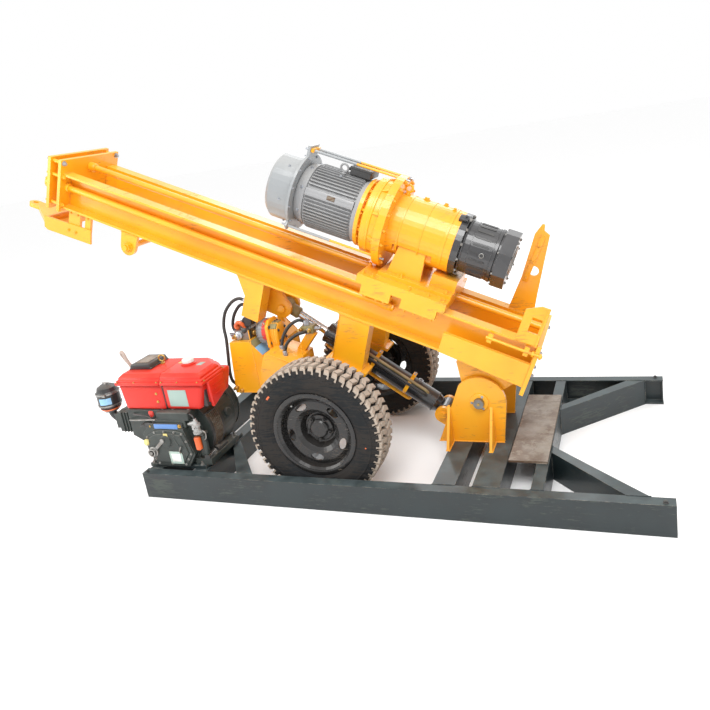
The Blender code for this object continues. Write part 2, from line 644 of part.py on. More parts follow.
# Power head: carriage, motor, reducer and chuck, all along the drilling axis.
def carriage():
    s, top = HEAD_END - 0.690, AXIS_T - RING_R - GAP
    low = BEAM_T1 + 0.0005
    wide = BEAM_OUT + 0.025
    ob = plate("carriage", "yellow", rect(s + 0.005, s + 0.478, -wide, wide), low, top, sy,
               origin=SPIN_P)
    cut(ob, block("deck", None, (s + 0.086, s + 0.478), (-0.175, 0.175), (top - 0.004, top + 0.022),
                  mast), "UNION")
    cut(ob, block("end_block", None, (s + 0.345, s + 0.478), (-0.110, 0.110),
                  (top + 0.018, AXIS_T - 0.160), mast), "UNION")
    gusset = [(s + 0.120, top + 0.018), (s + 0.300, top + 0.018), (s + 0.288, AXIS_T - 0.070),
              (s + 0.147, AXIS_T - 0.070)]
    for k, side in enumerate((-1, 1)):
        cut(ob, plate(f"gusset{k}", None, gusset, *sorted((side * 0.110, side * 0.132)), st), "UNION")
        for j, (a, b) in enumerate(((0.040, 0.199), (0.257, 0.443))):
            shoe = [(wide, low + 0.004), (wide, low - 0.050), (BEAM_OUT - 0.020, low - 0.050),
                    (BEAM_OUT - 0.020, low - 0.0185), (BEAM_OUT + 0.0055, low - 0.0185),
                    (BEAM_OUT + 0.0055, low + 0.004)]
            cut(ob, plate(f"shoe{k}{j}", None, [(side * y, t) for y, t in shoe], s + a, s + b, yt),
                "UNION")
    cut(ob, block("feed_nut", None, (s - 0.015, s + 0.008), (-0.032, 0.032), (0.213, top - 0.002),
                  mast), "UNION")
    cut(ob, block("feed_slot", None, (s + 0.010, s + 0.60), (-0.0245, 0.0245), (0.10, 0.2665), mast))
    cut_round(ob, "feed_bore", mast(0, 0, FEED_T), MAST_DIR, FEED_R + 0.0012, s - 0.2, s + 0.05, 16)


def head_lathe(name, paint, profile, n=36):
    """Turned piece of the power head; stations run back from the chuck's end."""
    return lathe(name, paint, mast(HEAD_END, 0, AXIS_T), MAST_DIR, profile, n, SPIN_P)


def radial(ob, name, count, start, a, b, half):
    """Weld or hold thin blocks round the drilling axis: stations a, radii b."""
    bm = bmesh.new()
    for i in range(count):
        w = start + 2 * math.pi * i / count

        def turned(p, q, r, w=w):
            y = q * math.cos(w) - r * math.sin(w)
            t = q * math.sin(w) + r * math.cos(w)
            return mast(HEAD_END + p, y, AXIS_T + t)
        add_plate(bm, [(a[0], b[0]), (a[1], b[0]), (a[1], b[1]), (a[0], b[2])], -half, half,
                  lambda p, r, q, turned=turned: turned(p, q, r))
    cut(ob, finish(name, bm, None), "UNION")


def power_head():
    ob = head_lathe("fan_cowl", "grey", [(-1.310, 0), (-1.310, 0.140), (-1.302, 0.162), (-1.284, 0.178),
                                         (-1.160, 0.178), (-1.160, 0.205), (-1.145, 0.205),
                                         (-1.145, 0)])
    cut(ob, block("cowl_ear", None, (HEAD_END - 1.160, HEAD_END - 1.145), (-0.055, 0.055),
                  (AXIS_T + 0.180, AXIS_T + 0.252), mast), "UNION")
    fins, root, tip = 32, MOTOR_R - 0.017, MOTOR_R
    ring = []
    for i in range(fins):
        for turn, r in ((-0.28, root), (-0.20, tip), (0.20, tip), (0.28, root)):
            w = 2 * math.pi * (i + turn) / fins
            ring.append((r * math.cos(w), AXIS_T + r * math.sin(w)))
    front, back = HEAD_END - 1.145 + GAP, HEAD_END - 0.790
    ob = plate("motor", "grey", ring, front + 0.016, back - 0.020, yt, origin=SPIN_P)
    cut(ob, head_lathe("motor_body", None, rod(MOTOR_R - 0.012, front - HEAD_END, back - HEAD_END - GAP)),
        "UNION")
    bm = bmesh.new()
    for y in (-0.032, 0.032):
        add_lathe(bm, mast(HEAD_END, y, AXIS_T + 0.230), MAST_DIR,
                  [(-1.145 + GAP, 0), (-1.145 + GAP, 0.0065), (-0.660 - GAP, 0.0065),
                   (-0.660 - GAP, 0)], 8)
    ob = finish("tie_rods", bm, "iron", SPIN_P, True)
    cut(ob, block("tie_end", None, (HEAD_END - 1.145 + GAP, HEAD_END - 1.130), (-0.045, 0.045),
                  (AXIS_T + 0.220, AXIS_T + 0.240), mast), "UNION")
    ob = head_lathe("reducer", "yellow",
                    [(-0.790, 0), (-0.790, 0.178), (-0.770, 0.178), (-0.770, 0.145),
                     (-0.660, 0.158), (-0.660, RING_R), (-0.620, RING_R), (-0.620, 0.157),
                     (-0.2848, 0.157), (-0.2848, 0)], 40)
    radial(ob, "reducer_ribs", 10, 0.0, (-0.775, -0.655), (0.130, 0.228, 0.165), 0.006)
    cut(ob, block("reducer_flat", None, (HEAD_END - 0.619, HEAD_END - 0.20), (-0.1105, 0.1105),
                  (AXIS_T - 0.30, AXIS_T - 0.1597), mast))
    for k, side in enumerate((-1, 1)):
        cut(ob, block(f"gusset_cut{k}", None, (HEAD_END - 0.580, HEAD_END - 0.370),
                      sorted((side * 0.1097, side * 0.1400)), (AXIS_T - 0.30, AXIS_T - 0.0697), mast))
    ob = head_lathe("chuck", "black", [(-0.2845, 0), (-0.2845, 0.157), (-0.250, 0.157),
                                       (-0.250, 0.132), (-0.060, 0.132), (-0.060, 0.050),
                                       (-0.145, 0.050), (-0.145, 0)])
    end = HEAD_END - 0.066
    cut(ob, plate("chuck_flange", None, circle(0, AXIS_T, 0.148, 8, math.pi / 8), end, HEAD_END, yt,
                  [circle(0, AXIS_T, 0.0503, 24)]), "UNION")
    box = HEAD_END - 0.915
    block("terminal_box", "iron", (box, box + 0.119), (-0.050, 0.090),
          (AXIS_T + MOTOR_R + 0.0005, AXIS_T + MOTOR_R + 0.046), mast, SPIN_P)


# Diesel engine on its bed: crankcase, cylinder head, hopper, lid, air cleaner, flywheel.
def engine():
    x, y0 = CRANK[0], ENGINE_Y          # crank axis, near face of the gear case
    bed = RAIL_H + 0.020 + GAP
    case = [(x - 0.130, bed), (x + 0.075, bed), (x + 0.130, bed + 0.075), (x + 0.085, 0.395),
            (x - 0.120, 0.425), (x - 0.190, 0.365), (x - 0.175, 0.235)]
    ob = plate("crankcase", "iron", case, y0, y0 + 0.050, xz)
    body = [(x - 0.155, bed), (x + 0.120, bed), (x + 0.150, 0.300), (x + 0.115, HOPPER_Z - GAP),
            (x - 0.300, HOPPER_Z - GAP), (x - 0.300, 0.330), (x - 0.190, 0.270)]
    cut(ob, plate("case_body", None, body, y0 + 0.045, -0.262, xz), "UNION")
    cut(ob, block("cylinder_head", None, (x - 0.430, x - 0.290), (-0.520, -0.340), (0.325, 0.445)),
        "UNION")
    cut(ob, block("rocker_cover", None, (x - 0.470, x - 0.425), (-0.500, -0.360), (0.335, 0.420)),
        "UNION")
    fan = [(x - 0.020, bed + 0.02), *arc(x + 0.020, 0.335, 0.178, -52, 55, 12), (x - 0.020, 0.482)]
    cut(ob, plate("fan_housing", None, fan, -0.510, -0.262, xz), "UNION")
    cut(ob, block("engine_foot", None, (x + 0.100, x + 0.205), (-0.585, -0.300), (bed, bed + 0.035)),
        "UNION")

    low, high = HOPPER_Z, HOPPER_Z + 0.148
    body = [(HOPPER[0] + 0.030, low), (HOPPER[1] - 0.055, low), (HOPPER[1] - 0.012, high + 0.01),
            (HOPPER[0] + 0.010, high + 0.01)]
    ob = plate("engine_cover", "red", body, HOPPER[2] + 0.018, HOPPER[3], xz)
    cut(ob, block("hopper_rim", None, HOPPER[:2], (HOPPER[2], HOPPER[3] - 0.004),
                  (high, high + 0.018)), "UNION")
    bm = bmesh.new()
    rings = []
    for z, inset in ((high + 0.010, 0.010), (high + 0.040, 0.016), (HOPPER_TOP, 0.040)):
        x0, x1, ya, yb = HOPPER[0] + inset, HOPPER[1] - inset, HOPPER[2] + inset, HOPPER[3] - inset
        rings.append([bm.verts.new((a, b, z)) for a, b in
                      ((x0, ya), (x1, ya), (x1, yb - 0.09), (x1 - 0.09, yb), (x0, yb))])
    for p, q in zip(rings, rings[1:]):
        for i in range(5):
            bm.faces.new((p[i - 1], p[i], q[i], q[i - 1]))
    bm.faces.new(rings[0])
    bm.faces.new(rings[-1])
    cut(ob, finish("hopper_top", bm, None), "UNION")
    xr = HOPPER[1] - 0.020
    shroud = [(xr - 0.05, HOPPER[2] + 0.050, high + 0.005), (xr - 0.05, HOPPER[3] - 0.110, high + 0.005),
              (xr - 0.05, HOPPER[3] - 0.110, low + 0.045), (xr - 0.05, HOPPER[2] + 0.060, low - 0.0)]
    bm = bmesh.new()
    rings = [[bm.verts.new(p) for p in shroud],
             [bm.verts.new((p[0] + 0.075, p[1], p[2])) for p in shroud]]
    for i in range(4):
        bm.faces.new((rings[0][i - 1], rings[0][i], rings[1][i], rings[1][i - 1]))
    bm.faces.new(rings[0])
    bm.faces.new(rings[1])
    cut(ob, finish("side_shroud", bm, None), "UNION")

    lid = HOPPER_TOP + GAP
    plate("engine_lid", "iron", [(HOPPER[0] + 0.045, lid), (HOPPER[0] + 0.195, lid),
                                 (HOPPER[0] + 0.180, lid + 0.032), (HOPPER[0] + 0.060, lid + 0.032)],
          -0.480, -0.310, xz)
    ax, ay = AIR
    ob = lathe("air_cleaner", "black", world(ax, ay, 0.420), (0, 0, 1),
               [(0, 0), (0, 0.045), (0.030, 0.062), (0.036, 0.068), (0.120, 0.068), (0.128, 0.062),
                (0.150, 0.055), (0.164, 0.030), (0.164, 0)], 24)
    elbow = spline([(ax, ay, 0.440), (ax + 0.005, ay, 0.395), (ax + 0.045, ay, 0.360),
                    (x - 0.4750, ay, 0.360)], 4)
    cut(ob, pipe("air_elbow", None, elbow, 0.024, 12), "UNION")
    cut(ob, lathe("air_flange", None, world(x - 0.4703, ay, 0.360), (-1, 0, 0),
                  rod(0.032, 0.0, 0.012), 16), "UNION")
    lathe("flywheel", "iron", world(x, -0.200, CRANK[1]), (0, 1, 0),
          [(-0.0617, 0), (-0.0617, 0.185), (0.010, 0.185), (0.010, 0.155), (-0.010, 0.135),
           (-0.010, 0.050), (0.040, 0.050), (0.040, 0)], 36)


# Oil tank, pump and valves, carried by the mast.
def hydraulics():
    x0, x1 = TANK_X
    tank = [(x0 - 0.025, 0.445), (x1, 0.445), (x1, 0.668), (x1 - 0.075, TANK_TOP), (x0, TANK_TOP)]
    ob = plate("oil_tank", "yellow", tank, -0.232, 0.232, xz, origin=PIVOT_P)
    s = ROD_S
    for name, y, t0, t1 in (("far", 0.150, -0.2089, -0.2110), ("mid", -0.105, -0.1904, -0.1904)):
        hanger = [(s - 0.156, t0), (s - 0.112, t1), along(-0.258, TANK_TOP - 0.012),
                  along(-0.300, TANK_TOP - 0.012)]
        cut(ob, plate("tank_hanger_" + name, None, hanger, y, y + 0.015, st), "UNION")
    outline = [(x1 + GAP, 0.445), (x1 + 0.240, 0.445), (x1 + 0.240, 0.655), (x1 + 0.020, 0.715),
               (x1 + GAP, 0.710)]
    box = plate("pump_box", "yellow", outline, -0.330, -0.100, xz, origin=PIVOT_P)
    ob = block("valve_block", "iron", (x0 + 0.020, x0 + 0.110), (-0.190, 0.040),
               (TANK_TOP + GAP, TANK_TOP + 0.055), world, PIVOT_P)
    for k in range(4):
        y = -0.165 + 0.055 * k
        cut(ob, lathe(f"spool{k}", None, world(x0 + 0.065, y, TANK_TOP + 0.030), (0, 0, 1),
                      rod(0.011, 0.0, 0.070), 10), "UNION")
    cut(ob, lathe("gauge", None, world(x0 + 0.100, -0.150, TANK_TOP + 0.100), (0, 1, 0),
                  rod(0.028, -0.012, 0.012), 16), "UNION")
    cut(ob, lathe("gauge_stem", None, world(x0 + 0.100, -0.150, TANK_TOP + 0.030), (0, 0, 1),
                  rod(0.007, 0.0, 0.060), 8), "UNION")
    px, py, pz = PUMP
    lathe("pump_motor", "grey", world(px, py, pz), (1, 0, 0),
          [(-0.062, 0), (-0.062, 0.056), (-0.052, 0.066), (0.0, 0.066), (0.0, 0)], 24, PIVOT_P)
    bracket = [(x1 + 0.165, 0.660), (x1 + 0.215, 0.650), (x1 + 0.305, 0.752), (x1 + 0.268, 0.785)]
    flange = rect(py - 0.072, py + 0.072, pz - 0.078, pz + 0.072)
    foot_plates = rect(py - 0.060, py + 0.060, 0.690, pz - 0.070)
    for shape in (plate("pump_flange", None, flange, px + GAP, px + 0.018, yz),
                  plate("pump_foot", None, foot_plates, px + GAP, px + 0.018, yz),
                  plate("hose_bracket", None, bracket, -0.150, -0.105, xz),
                  block("manifold", None, (x1 + 0.225, x1 + 0.300), (-0.160, -0.095),
                        (0.765, 0.805))):
        cut(box, shape, "UNION")


POST_S = ROD_S - 0.168 - GAP      # rear face of the posts
HOSES = {
    # name: points it runs through; the first two and the last two stand square to a surface
    "hose_rear": [mast(POST_S, -0.160, -0.140), mast(POST_S - 0.020, -0.160, -0.140),
                  (-0.345, -0.162, 0.988), (-0.394, -0.167, 0.969), (-0.446, -0.172, 0.912),
                  (-0.470, -0.178, 0.833), (-0.462, -0.192, 0.765), (-0.462, -0.205, 0.690),
                  (-0.468, -0.210, 0.620), (-0.476, -0.208, 0.555), (-0.480, -0.195, 0.505),
                  (-0.470, -0.180, 0.480), (-0.4446, -0.180, 0.480)],
    "hose_valve": [mast(POST_S, -0.135, -0.172), mast(POST_S - 0.020, -0.135, -0.172),
                   (-0.365, -0.130, 0.940), (-0.412, -0.125, 0.895), (-0.442, -0.120, 0.840),
                   (-0.445, -0.120, 0.800), (-0.425, -0.120, 0.780), (-0.4003, -0.120, 0.780)],
    "hose_left": [(-0.100, -0.215, 0.6928), (-0.100, -0.215, 0.715), (-0.085, -0.200, 0.770),
                  (-0.050, -0.175, 0.820), (-0.005, -0.150, 0.842), (0.025, -0.130, 0.828),
                  (0.025, -0.130, 0.8053)],
    "hose_right": [(-0.055, -0.270, 0.6806), (-0.055, -0.270, 0.705), (-0.035, -0.262, 0.750),
                   (0.010, -0.240, 0.785), (0.045, -0.210, 0.790), (0.055, -0.180, 0.785),
                   (0.055, -0.1603, 0.785)],
}


def hoses():
    for name, points in HOSES.items():
        path = [points[0], *spline(points[1:-1], 3), points[-1]]
        pipe(name, "hose", path, HOSE_R, 8, PIVOT_P)


skid()
hinge_brackets()
tail_lugs()
beams()
head_plates()
foot()
tubes()
hitch()
stay_lugs()
rear_post()
struts()
hinge_ears()
lift_cylinder()
wheels()
carriage()
power_head()
engine()
hydraulics()
hoses()
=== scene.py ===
# %% [markdown]
# # A trailer water well drilling rig, dressed for its picture
#
# The real machine lies on two black steel rails. A yellow mast is hinged at one
# end of them and rests on two road wheels, an electric power head slides along
# the mast, and a small diesel engine sits at the other end.
#
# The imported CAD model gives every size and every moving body. This script adds
# what a maker would see close up: tyre tread, bolts, weld beads, fittings, dust
# and worn paint. Each step says what the real piece is, how it could be made in
# Blender, and why this way was chosen.

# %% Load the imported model
import json
from math import cos, hypot, pi, radians, sin, sqrt

import bmesh
import bpy
from mathutils import Matrix, Vector

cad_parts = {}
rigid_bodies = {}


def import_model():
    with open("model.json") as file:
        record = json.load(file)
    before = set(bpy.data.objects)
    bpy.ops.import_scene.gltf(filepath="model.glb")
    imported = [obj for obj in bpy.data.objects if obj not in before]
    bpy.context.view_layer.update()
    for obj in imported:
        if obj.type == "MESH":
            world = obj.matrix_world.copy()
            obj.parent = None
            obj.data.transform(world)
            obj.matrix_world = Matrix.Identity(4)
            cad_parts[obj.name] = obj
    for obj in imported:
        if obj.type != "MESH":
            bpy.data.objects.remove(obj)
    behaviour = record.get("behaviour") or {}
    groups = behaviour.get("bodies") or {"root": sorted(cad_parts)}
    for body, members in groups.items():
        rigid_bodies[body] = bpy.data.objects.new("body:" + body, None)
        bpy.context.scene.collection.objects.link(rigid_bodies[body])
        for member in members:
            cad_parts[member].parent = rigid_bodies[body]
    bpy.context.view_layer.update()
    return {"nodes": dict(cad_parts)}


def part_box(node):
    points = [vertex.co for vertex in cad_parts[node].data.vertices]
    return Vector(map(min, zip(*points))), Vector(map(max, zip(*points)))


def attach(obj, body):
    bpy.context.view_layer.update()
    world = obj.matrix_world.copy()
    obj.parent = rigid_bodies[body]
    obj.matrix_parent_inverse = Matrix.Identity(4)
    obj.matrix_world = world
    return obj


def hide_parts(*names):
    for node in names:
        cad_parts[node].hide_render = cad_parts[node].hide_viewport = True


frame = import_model()
NODES = frame["nodes"]

# %% [markdown]
# ## Where things are
#
# Most of the machine is built square to the mast, and the mast slopes. It is
# easier to think in the mast's own three directions: s runs down its length, y
# runs across it, and t stands square to it. One helper turns such a place into
# metres in the model, so no piece has to be turned or moved afterwards.

# %% Places and main sizes
MAST_ANGLE = radians(23.7)
MAST_HEAD = Vector((-1.384, 0.0, 1.602))     # lower edge of the beams at the head plate
MAST_LENGTH = 2.8
ALONG = Vector((cos(MAST_ANGLE), 0, -sin(MAST_ANGLE)))
ACROSS = Vector((0, 1, 0))
SQUARE = Vector((sin(MAST_ANGLE), 0, cos(MAST_ANGLE)))
MAST_AXES = (ALONG, ACROSS, SQUARE)

BEAM_TOP, BEAM_LOW = 0.225, 0.02             # t of the beams' flanges
BEAM_EDGE = 0.225                            # y of the flange's edge
TUBE_Y, TUBE_T = 0.186, 0.14                 # axis of the two side tubes
RAIL_TOP = 0.15
RAIL_EDGE, RAIL_WIDE = 0.68, 0.06
HINGE = Vector((0.955, 0.0, 0.375))
WHEEL = {"near": Vector((0.19, -0.49, 0.365)), "far": Vector((0.19, 0.49, 0.365))}
SIDE = {"near": -1, "far": 1}                # sign of y on each side
HEAD_END, AXIS_T = MAST_LENGTH - 0.255, 0.515   # lower face of the chuck, drilling axis
CYL_TAIL = Vector((0.725, 0.0, 0.25))


def mast(s, y, t):
    """Point given along the mast, across it and square to it."""
    return MAST_HEAD + ALONG * s + ACROSS * y + SQUARE * t


def head(p, radius, degrees):
    """Point round the drilling axis, p along it from the chuck's face; 0 degrees is up."""
    w = radians(degrees)
    return mast(HEAD_END + p, radius * sin(w), AXIS_T + radius * cos(w))


def radial(degrees):
    """Direction away from the drilling axis; 0 degrees is square to the mast."""
    w = radians(degrees)
    return ACROSS * sin(w) + SQUARE * cos(w)


def head_axes(degrees):
    """Along, around and away from the drilling axis."""
    return ALONG, ALONG.cross(radial(degrees)), radial(degrees)


def in_plane(centre, radius, degrees, y=0.0):
    """Point round a centre in the upright plane along the rig, moved across it by y."""
    w = radians(degrees)
    return centre + Vector((radius * cos(w), y, radius * sin(w)))


def evenly(count, first=0.0):
    """Degrees of equal steps once round a circle."""
    return [first + 360 / count * k for k in range(count)]


HEAD_CENTRE = mast(HEAD_END, 0, AXIS_T)
CYL_EYE = mast(1.428, 0.0, -0.151)
CYL_DIR = (CYL_EYE - CYL_TAIL).normalized()
CYL_SIDE = Vector((-CYL_DIR.z, 0, CYL_DIR.x))
if CYL_SIDE.z < 0:
    CYL_SIDE = -CYL_SIDE
print("lift cylinder, pin to pin:", round((CYL_EYE - CYL_TAIL).length, 4))

# %% [markdown]
# ## Helpers for solid pieces
#
# A few shapes come back all over a machine: a flat plate cut to an outline, a
# turned piece, a box and a bent pipe. Each helper adds its shape to a bmesh in
# final place. Boxes and plates get a small bevel, because real edges are never
# perfectly sharp and a bevel is what catches the light.

# %% Helpers that add a shape to a bmesh
def basis(axis):
    """Two directions square to an axis."""
    axis = Vector(axis).normalized()
    side = Vector((0, 1, 0)) if abs(axis.y) < 0.6 else Vector((0, 0, 1))
    side = (side - axis * side.dot(axis)).normalized()
    return side, axis.cross(side)


def add_ring(bm, centre, u, v, radius, sides):
    """Ring of vertices round a centre."""
    return [bm.verts.new(centre + (u * cos(w) + v * sin(w)) * radius)
            for w in (2 * pi * k / sides for k in range(sides))]


def add_skin(bm, rings):
    """Faces between rings of as many corners each, and the list of them."""
    return [bm.faces.new((a[k - 1], a[k], b[k], b[k - 1]))
            for a, b in zip(rings, rings[1:]) for k in range(len(a))]


def soften(bm, faces, bevel, segments):
    """Round all the edges of these faces."""
    bmesh.ops.bevel(bm, geom=list({e for f in faces for e in f.edges}), offset=bevel,
                    segments=segments, affect="EDGES", profile=0.5, clamp_overlap=True)


def add_turned(bm, base, axis, profile, sides=32):
    """Profile of (along, radius) turned about an axis; radius 0 closes an end."""
    axis = Vector(axis).normalized()
    u, v = basis(axis)
    rings = []
    for along, radius in profile:
        centre = Vector(base) + axis * along
        rings.append([bm.verts.new(centre)] if radius < 1e-6
                     else add_ring(bm, centre, u, v, radius, sides))
    pairs = list(zip(rings, rings[1:]))
    if len(rings[0]) > 1 and len(rings[-1]) > 1:
        pairs.append((rings[-1], rings[0]))
    for a, b in pairs:
        for k in range(sides):
            j = (k + 1) % sides
            corners = (a[k % len(a)], a[j % len(a)], b[j % len(b)], b[k % len(b)])
            bm.faces.new(tuple(dict.fromkeys(corners)))


def add_prism(bm, corners, push, bevel=0.0, segments=2):
    """Flat loop of corners pushed into a solid, its edges rounded by bevel."""
    low = [bm.verts.new(Vector(c)) for c in corners]
    high = [bm.verts.new(Vector(c) + Vector(push)) for c in corners]
    faces = [bm.faces.new(low[::-1]), bm.faces.new(high), *add_skin(bm, (low, high))]
    if bevel > 0:
        soften(bm, faces, bevel, segments)


def add_box(bm, centre, half, axes=None, bevel=0.002, segments=2):
    """Box about a centre, with half sizes along three axes."""
    e = axes or (Vector((1, 0, 0)), Vector((0, 1, 0)), Vector((0, 0, 1)))
    c = Vector(centre)
    corners = [c + e[0] * (half[0] * i) + e[1] * (half[1] * j) - e[2] * half[2]
               for i, j in ((-1, -1), (1, -1), (1, 1), (-1, 1))]
    add_prism(bm, corners, e[2] * (2 * half[2]), bevel, segments)


def smooth_path(points, steps=6):
    """Catmull-Rom curve through the points."""
    pts = [Vector(p) for p in points]
    ends = [pts[0] * 2 - pts[1], *pts, pts[-1] * 2 - pts[-2]]
    out = []
    for k in range(1, len(ends) - 2):
        a, b, c, d = ends[k - 1:k + 3]
        for i in range(steps):
            x = i / steps
            out.append((b * 2 + (c - a) * x + (a * 2 - b * 5 + c * 4 - d) * x * x
                        + (b * 3 - a - c * 3 + d) * x ** 3) * 0.5)
    return [*out, pts[-1]]


def add_pipe(bm, points, radius, sides=12):
    """Round pipe swept along points without twisting, closed at its ends."""
    pts = [Vector(p) for p in points]
    rings, u = [], None
    for k, p in enumerate(pts):
        way = (pts[min(k + 1, len(pts) - 1)] - pts[max(k - 1, 0)]).normalized()
        u = u or basis(way)[0]
        u = (u - way * u.dot(way)).normalized()
        rings.append(add_ring(bm, p, u, way.cross(u), radius, sides))
    for a, b in zip(rings, rings[1:]):
        for i in range(sides):
            j = (i + 1) % sides
            bm.faces.new((a[i], a[j], b[j], b[i]))
    bm.faces.new(rings[0][::-1])
    bm.faces.new(rings[-1])


def add_sheet(bm, point, inner, thick, turn_from, turn_to, steps, push):
    """Thin sheet wrapped on a cylinder; point gives a place from radius and angle."""
    turns = [radians(turn_from + (turn_to - turn_from) * k / steps) for k in range(steps + 1)]
    for a0, a1 in zip(turns, turns[1:]):
        add_prism(bm, [point(r, a) for r, a in ((inner, a0), (inner + thick, a0),
                                                (inner + thick, a1), (inner, a1))], push)


print("helpers ready: turned, prism, box, pipe, sheet")

# %% [markdown]
# ## Finished pieces
#
# Every added piece needs the same three things: outward faces, a material and
# the CAD body it moves with. One function does them all, so no piece can miss one.

# %% Turn a bmesh into a finished piece
piece_count = {}


def new_object(name, data):
    """Object of a mesh, light or camera, linked to the scene."""
    ob = bpy.data.objects.new(name, data)
    bpy.context.scene.collection.objects.link(ob)
    return ob


def finished(ob, body):
    """Give a ready object its body."""
    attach(ob, body)
    piece_count[body] = piece_count.get(body, 0) + 1
    return ob


def shaded(name, bm, crease, *paints):
    """Object of a bmesh, its faces turned out, smooth but for its creases."""
    bmesh.ops.recalc_face_normals(bm, faces=bm.faces)
    mesh = bpy.data.meshes.new(name)
    bm.to_mesh(mesh)
    bm.free()
    for paint in paints:
        mesh.materials.append(paint)
    mesh.shade_smooth()
    mesh.set_sharp_from_angle(angle=radians(crease))
    return new_object(name, mesh)


def piece(name, bm, paint, body, crease=38.0):
    """One finished piece out of a bmesh."""
    return finished(shaded(name, bm, crease, paint), body)


# %% [markdown]
# ## Repeats with Geometry Nodes
#
# Bolts, tyre lugs, cooling fins and weld ripples are all one small shape set
# down many times. Geometry Nodes do that with a short tree: the shape is
# instanced, made real, given its material, and then turned into a plain mesh,
# because an exported model can't hold instances.

# %% Start a Geometry Nodes tree with named inputs
def new_tree(name, inputs):
    """Geometry tree with a geometry socket in and out, and the inputs listed."""
    tree = bpy.data.node_groups.new(name, "GeometryNodeTree")
    tree.interface.new_socket("Geometry", in_out="INPUT", socket_type="NodeSocketGeometry")
    for label, kind, value in inputs:
        socket = tree.interface.new_socket(label, in_out="INPUT", socket_type="NodeSocket" + kind)
        if value is not None:
            socket.default_value = value
    tree.interface.new_socket("Geometry", in_out="OUTPUT", socket_type="NodeSocketGeometry")
    return tree, tree.nodes.new("NodeGroupInput"), tree.nodes.new("NodeGroupOutput")


def feed(tree, socket, value):
    """Give an input a value, or link it where the value is a socket."""
    if isinstance(value, bpy.types.NodeSocket):
        tree.links.new(value, socket)
    else:
        socket.default_value = value


def add_node(tree, kind, settings=None, **values):
    """Node with its settings and its inputs, by name or by number."""
    node = tree.nodes.new(kind)
    for key, value in (settings or {}).items():
        setattr(node, key, value)
    for key, value in values.items():
        numbered = key.startswith("_")
        feed(tree, node.inputs[int(key[1:]) if numbered else key.replace("_", " ")], value)
    return node


def calc(tree, operation, *values):
    """Result of a maths node on values or sockets."""
    node = add_node(tree, "ShaderNodeMath", {"operation": operation})
    for socket, value in zip(node.inputs, values):
        feed(tree, socket, value)
    return node.outputs[0]


def close_tree(tree, placed, given, result, smooth=False):
    """Make the instances real, give them their material and end the tree."""
    last = add_node(tree, "GeometryNodeRealizeInstances", Geometry=placed.outputs[0])
    if smooth:
        last = add_node(tree, "GeometryNodeSetShadeSmooth", Geometry=last.outputs[0])
    coat = add_node(tree, "GeometryNodeSetMaterial", Geometry=last.outputs[0],
                    Material=given.outputs["Material"])
    tree.links.new(coat.outputs[0], result.inputs[0])
    print(tree.name, "has", len(tree.nodes), "nodes")


def run_tree(ob, tree, **values):
    """Run a tree on an object once, keep the result as a plain mesh, drop the modifier."""
    modifier = ob.modifiers.new(tree.name, "NODES")
    modifier.node_group = tree
    wanted = {key.replace("_", " "): value for key, value in values.items()}
    for item in tree.interface.items_tree:
        if item.item_type == "SOCKET" and item.in_out == "INPUT" and item.name in wanted:
            modifier[item.identifier] = wanted.pop(item.name)
    if wanted:
        raise ValueError(f"{tree.name} has no input {sorted(wanted)}")
    graph = bpy.context.evaluated_depsgraph_get()
    mesh = bpy.data.meshes.new_from_object(ob.evaluated_get(graph), depsgraph=graph)
    ob.modifiers.clear()
    ob.data = mesh
    return ob


# %% A tree that sets one bolt on every point
bolt_tree, given, result = new_tree("bolts_on_points", [
    ("Head radius", "Float", 0.01), ("Head height", "Float", 0.008),
    ("Washer radius", "Float", 0.014), ("Thread radius", "Float", 0.005),
    ("Thread height", "Float", 0.006), ("Material", "Material", None)])
WASHER_THICK, WASHER_LIFT, HEAD_LIFT, THREAD_OUT = 0.0028, 0.0012, 0.002, 0.45


def bolt_part(sides, radius, depth, lift):
    """One cylinder of the bolt, its middle lifted off the face."""
    mesh = add_node(bolt_tree, "GeometryNodeMeshCylinder", Vertices=sides, Radius=radius,
                    Depth=depth)
    up = add_node(bolt_tree, "ShaderNodeCombineXYZ", Z=lift)
    return add_node(bolt_tree, "GeometryNodeTransform", Geometry=mesh.outputs["Mesh"],
                    Translation=up.outputs[0])


head_high, thread_high = given.outputs["Head height"], given.outputs["Thread height"]
head_lift = calc(bolt_tree, "MULTIPLY_ADD", head_high, 0.5, HEAD_LIFT)
thread_lift = calc(bolt_tree, "MULTIPLY_ADD", thread_high, THREAD_OUT, head_high)
one_bolt = bolt_tree.nodes.new("GeometryNodeJoinGeometry")
for part in (bolt_part(6, given.outputs["Head radius"], head_high, head_lift),
             bolt_part(14, given.outputs["Washer radius"], WASHER_THICK, WASHER_LIFT),
             bolt_part(8, given.outputs["Thread radius"], thread_high, thread_lift)):
    bolt_tree.links.new(part.outputs[0], one_bolt.inputs[0])
facing = add_node(bolt_tree, "GeometryNodeInputNamedAttribute", {"data_type": "FLOAT_VECTOR"},
                  Name="facing")
size = add_node(bolt_tree, "GeometryNodeInputNamedAttribute", {"data_type": "FLOAT"}, Name="size")
turn = add_node(bolt_tree, "FunctionNodeAlignRotationToVector", {"axis": "Z"},
                Vector=facing.outputs[0])
placed = add_node(bolt_tree, "GeometryNodeInstanceOnPoints", Points=given.outputs["Geometry"],
                  Instance=one_bolt.outputs[0], Rotation=turn.outputs[0])
bolt_tree.links.new(size.outputs[0], placed.inputs["Scale"])
close_tree(bolt_tree, placed, given, result)


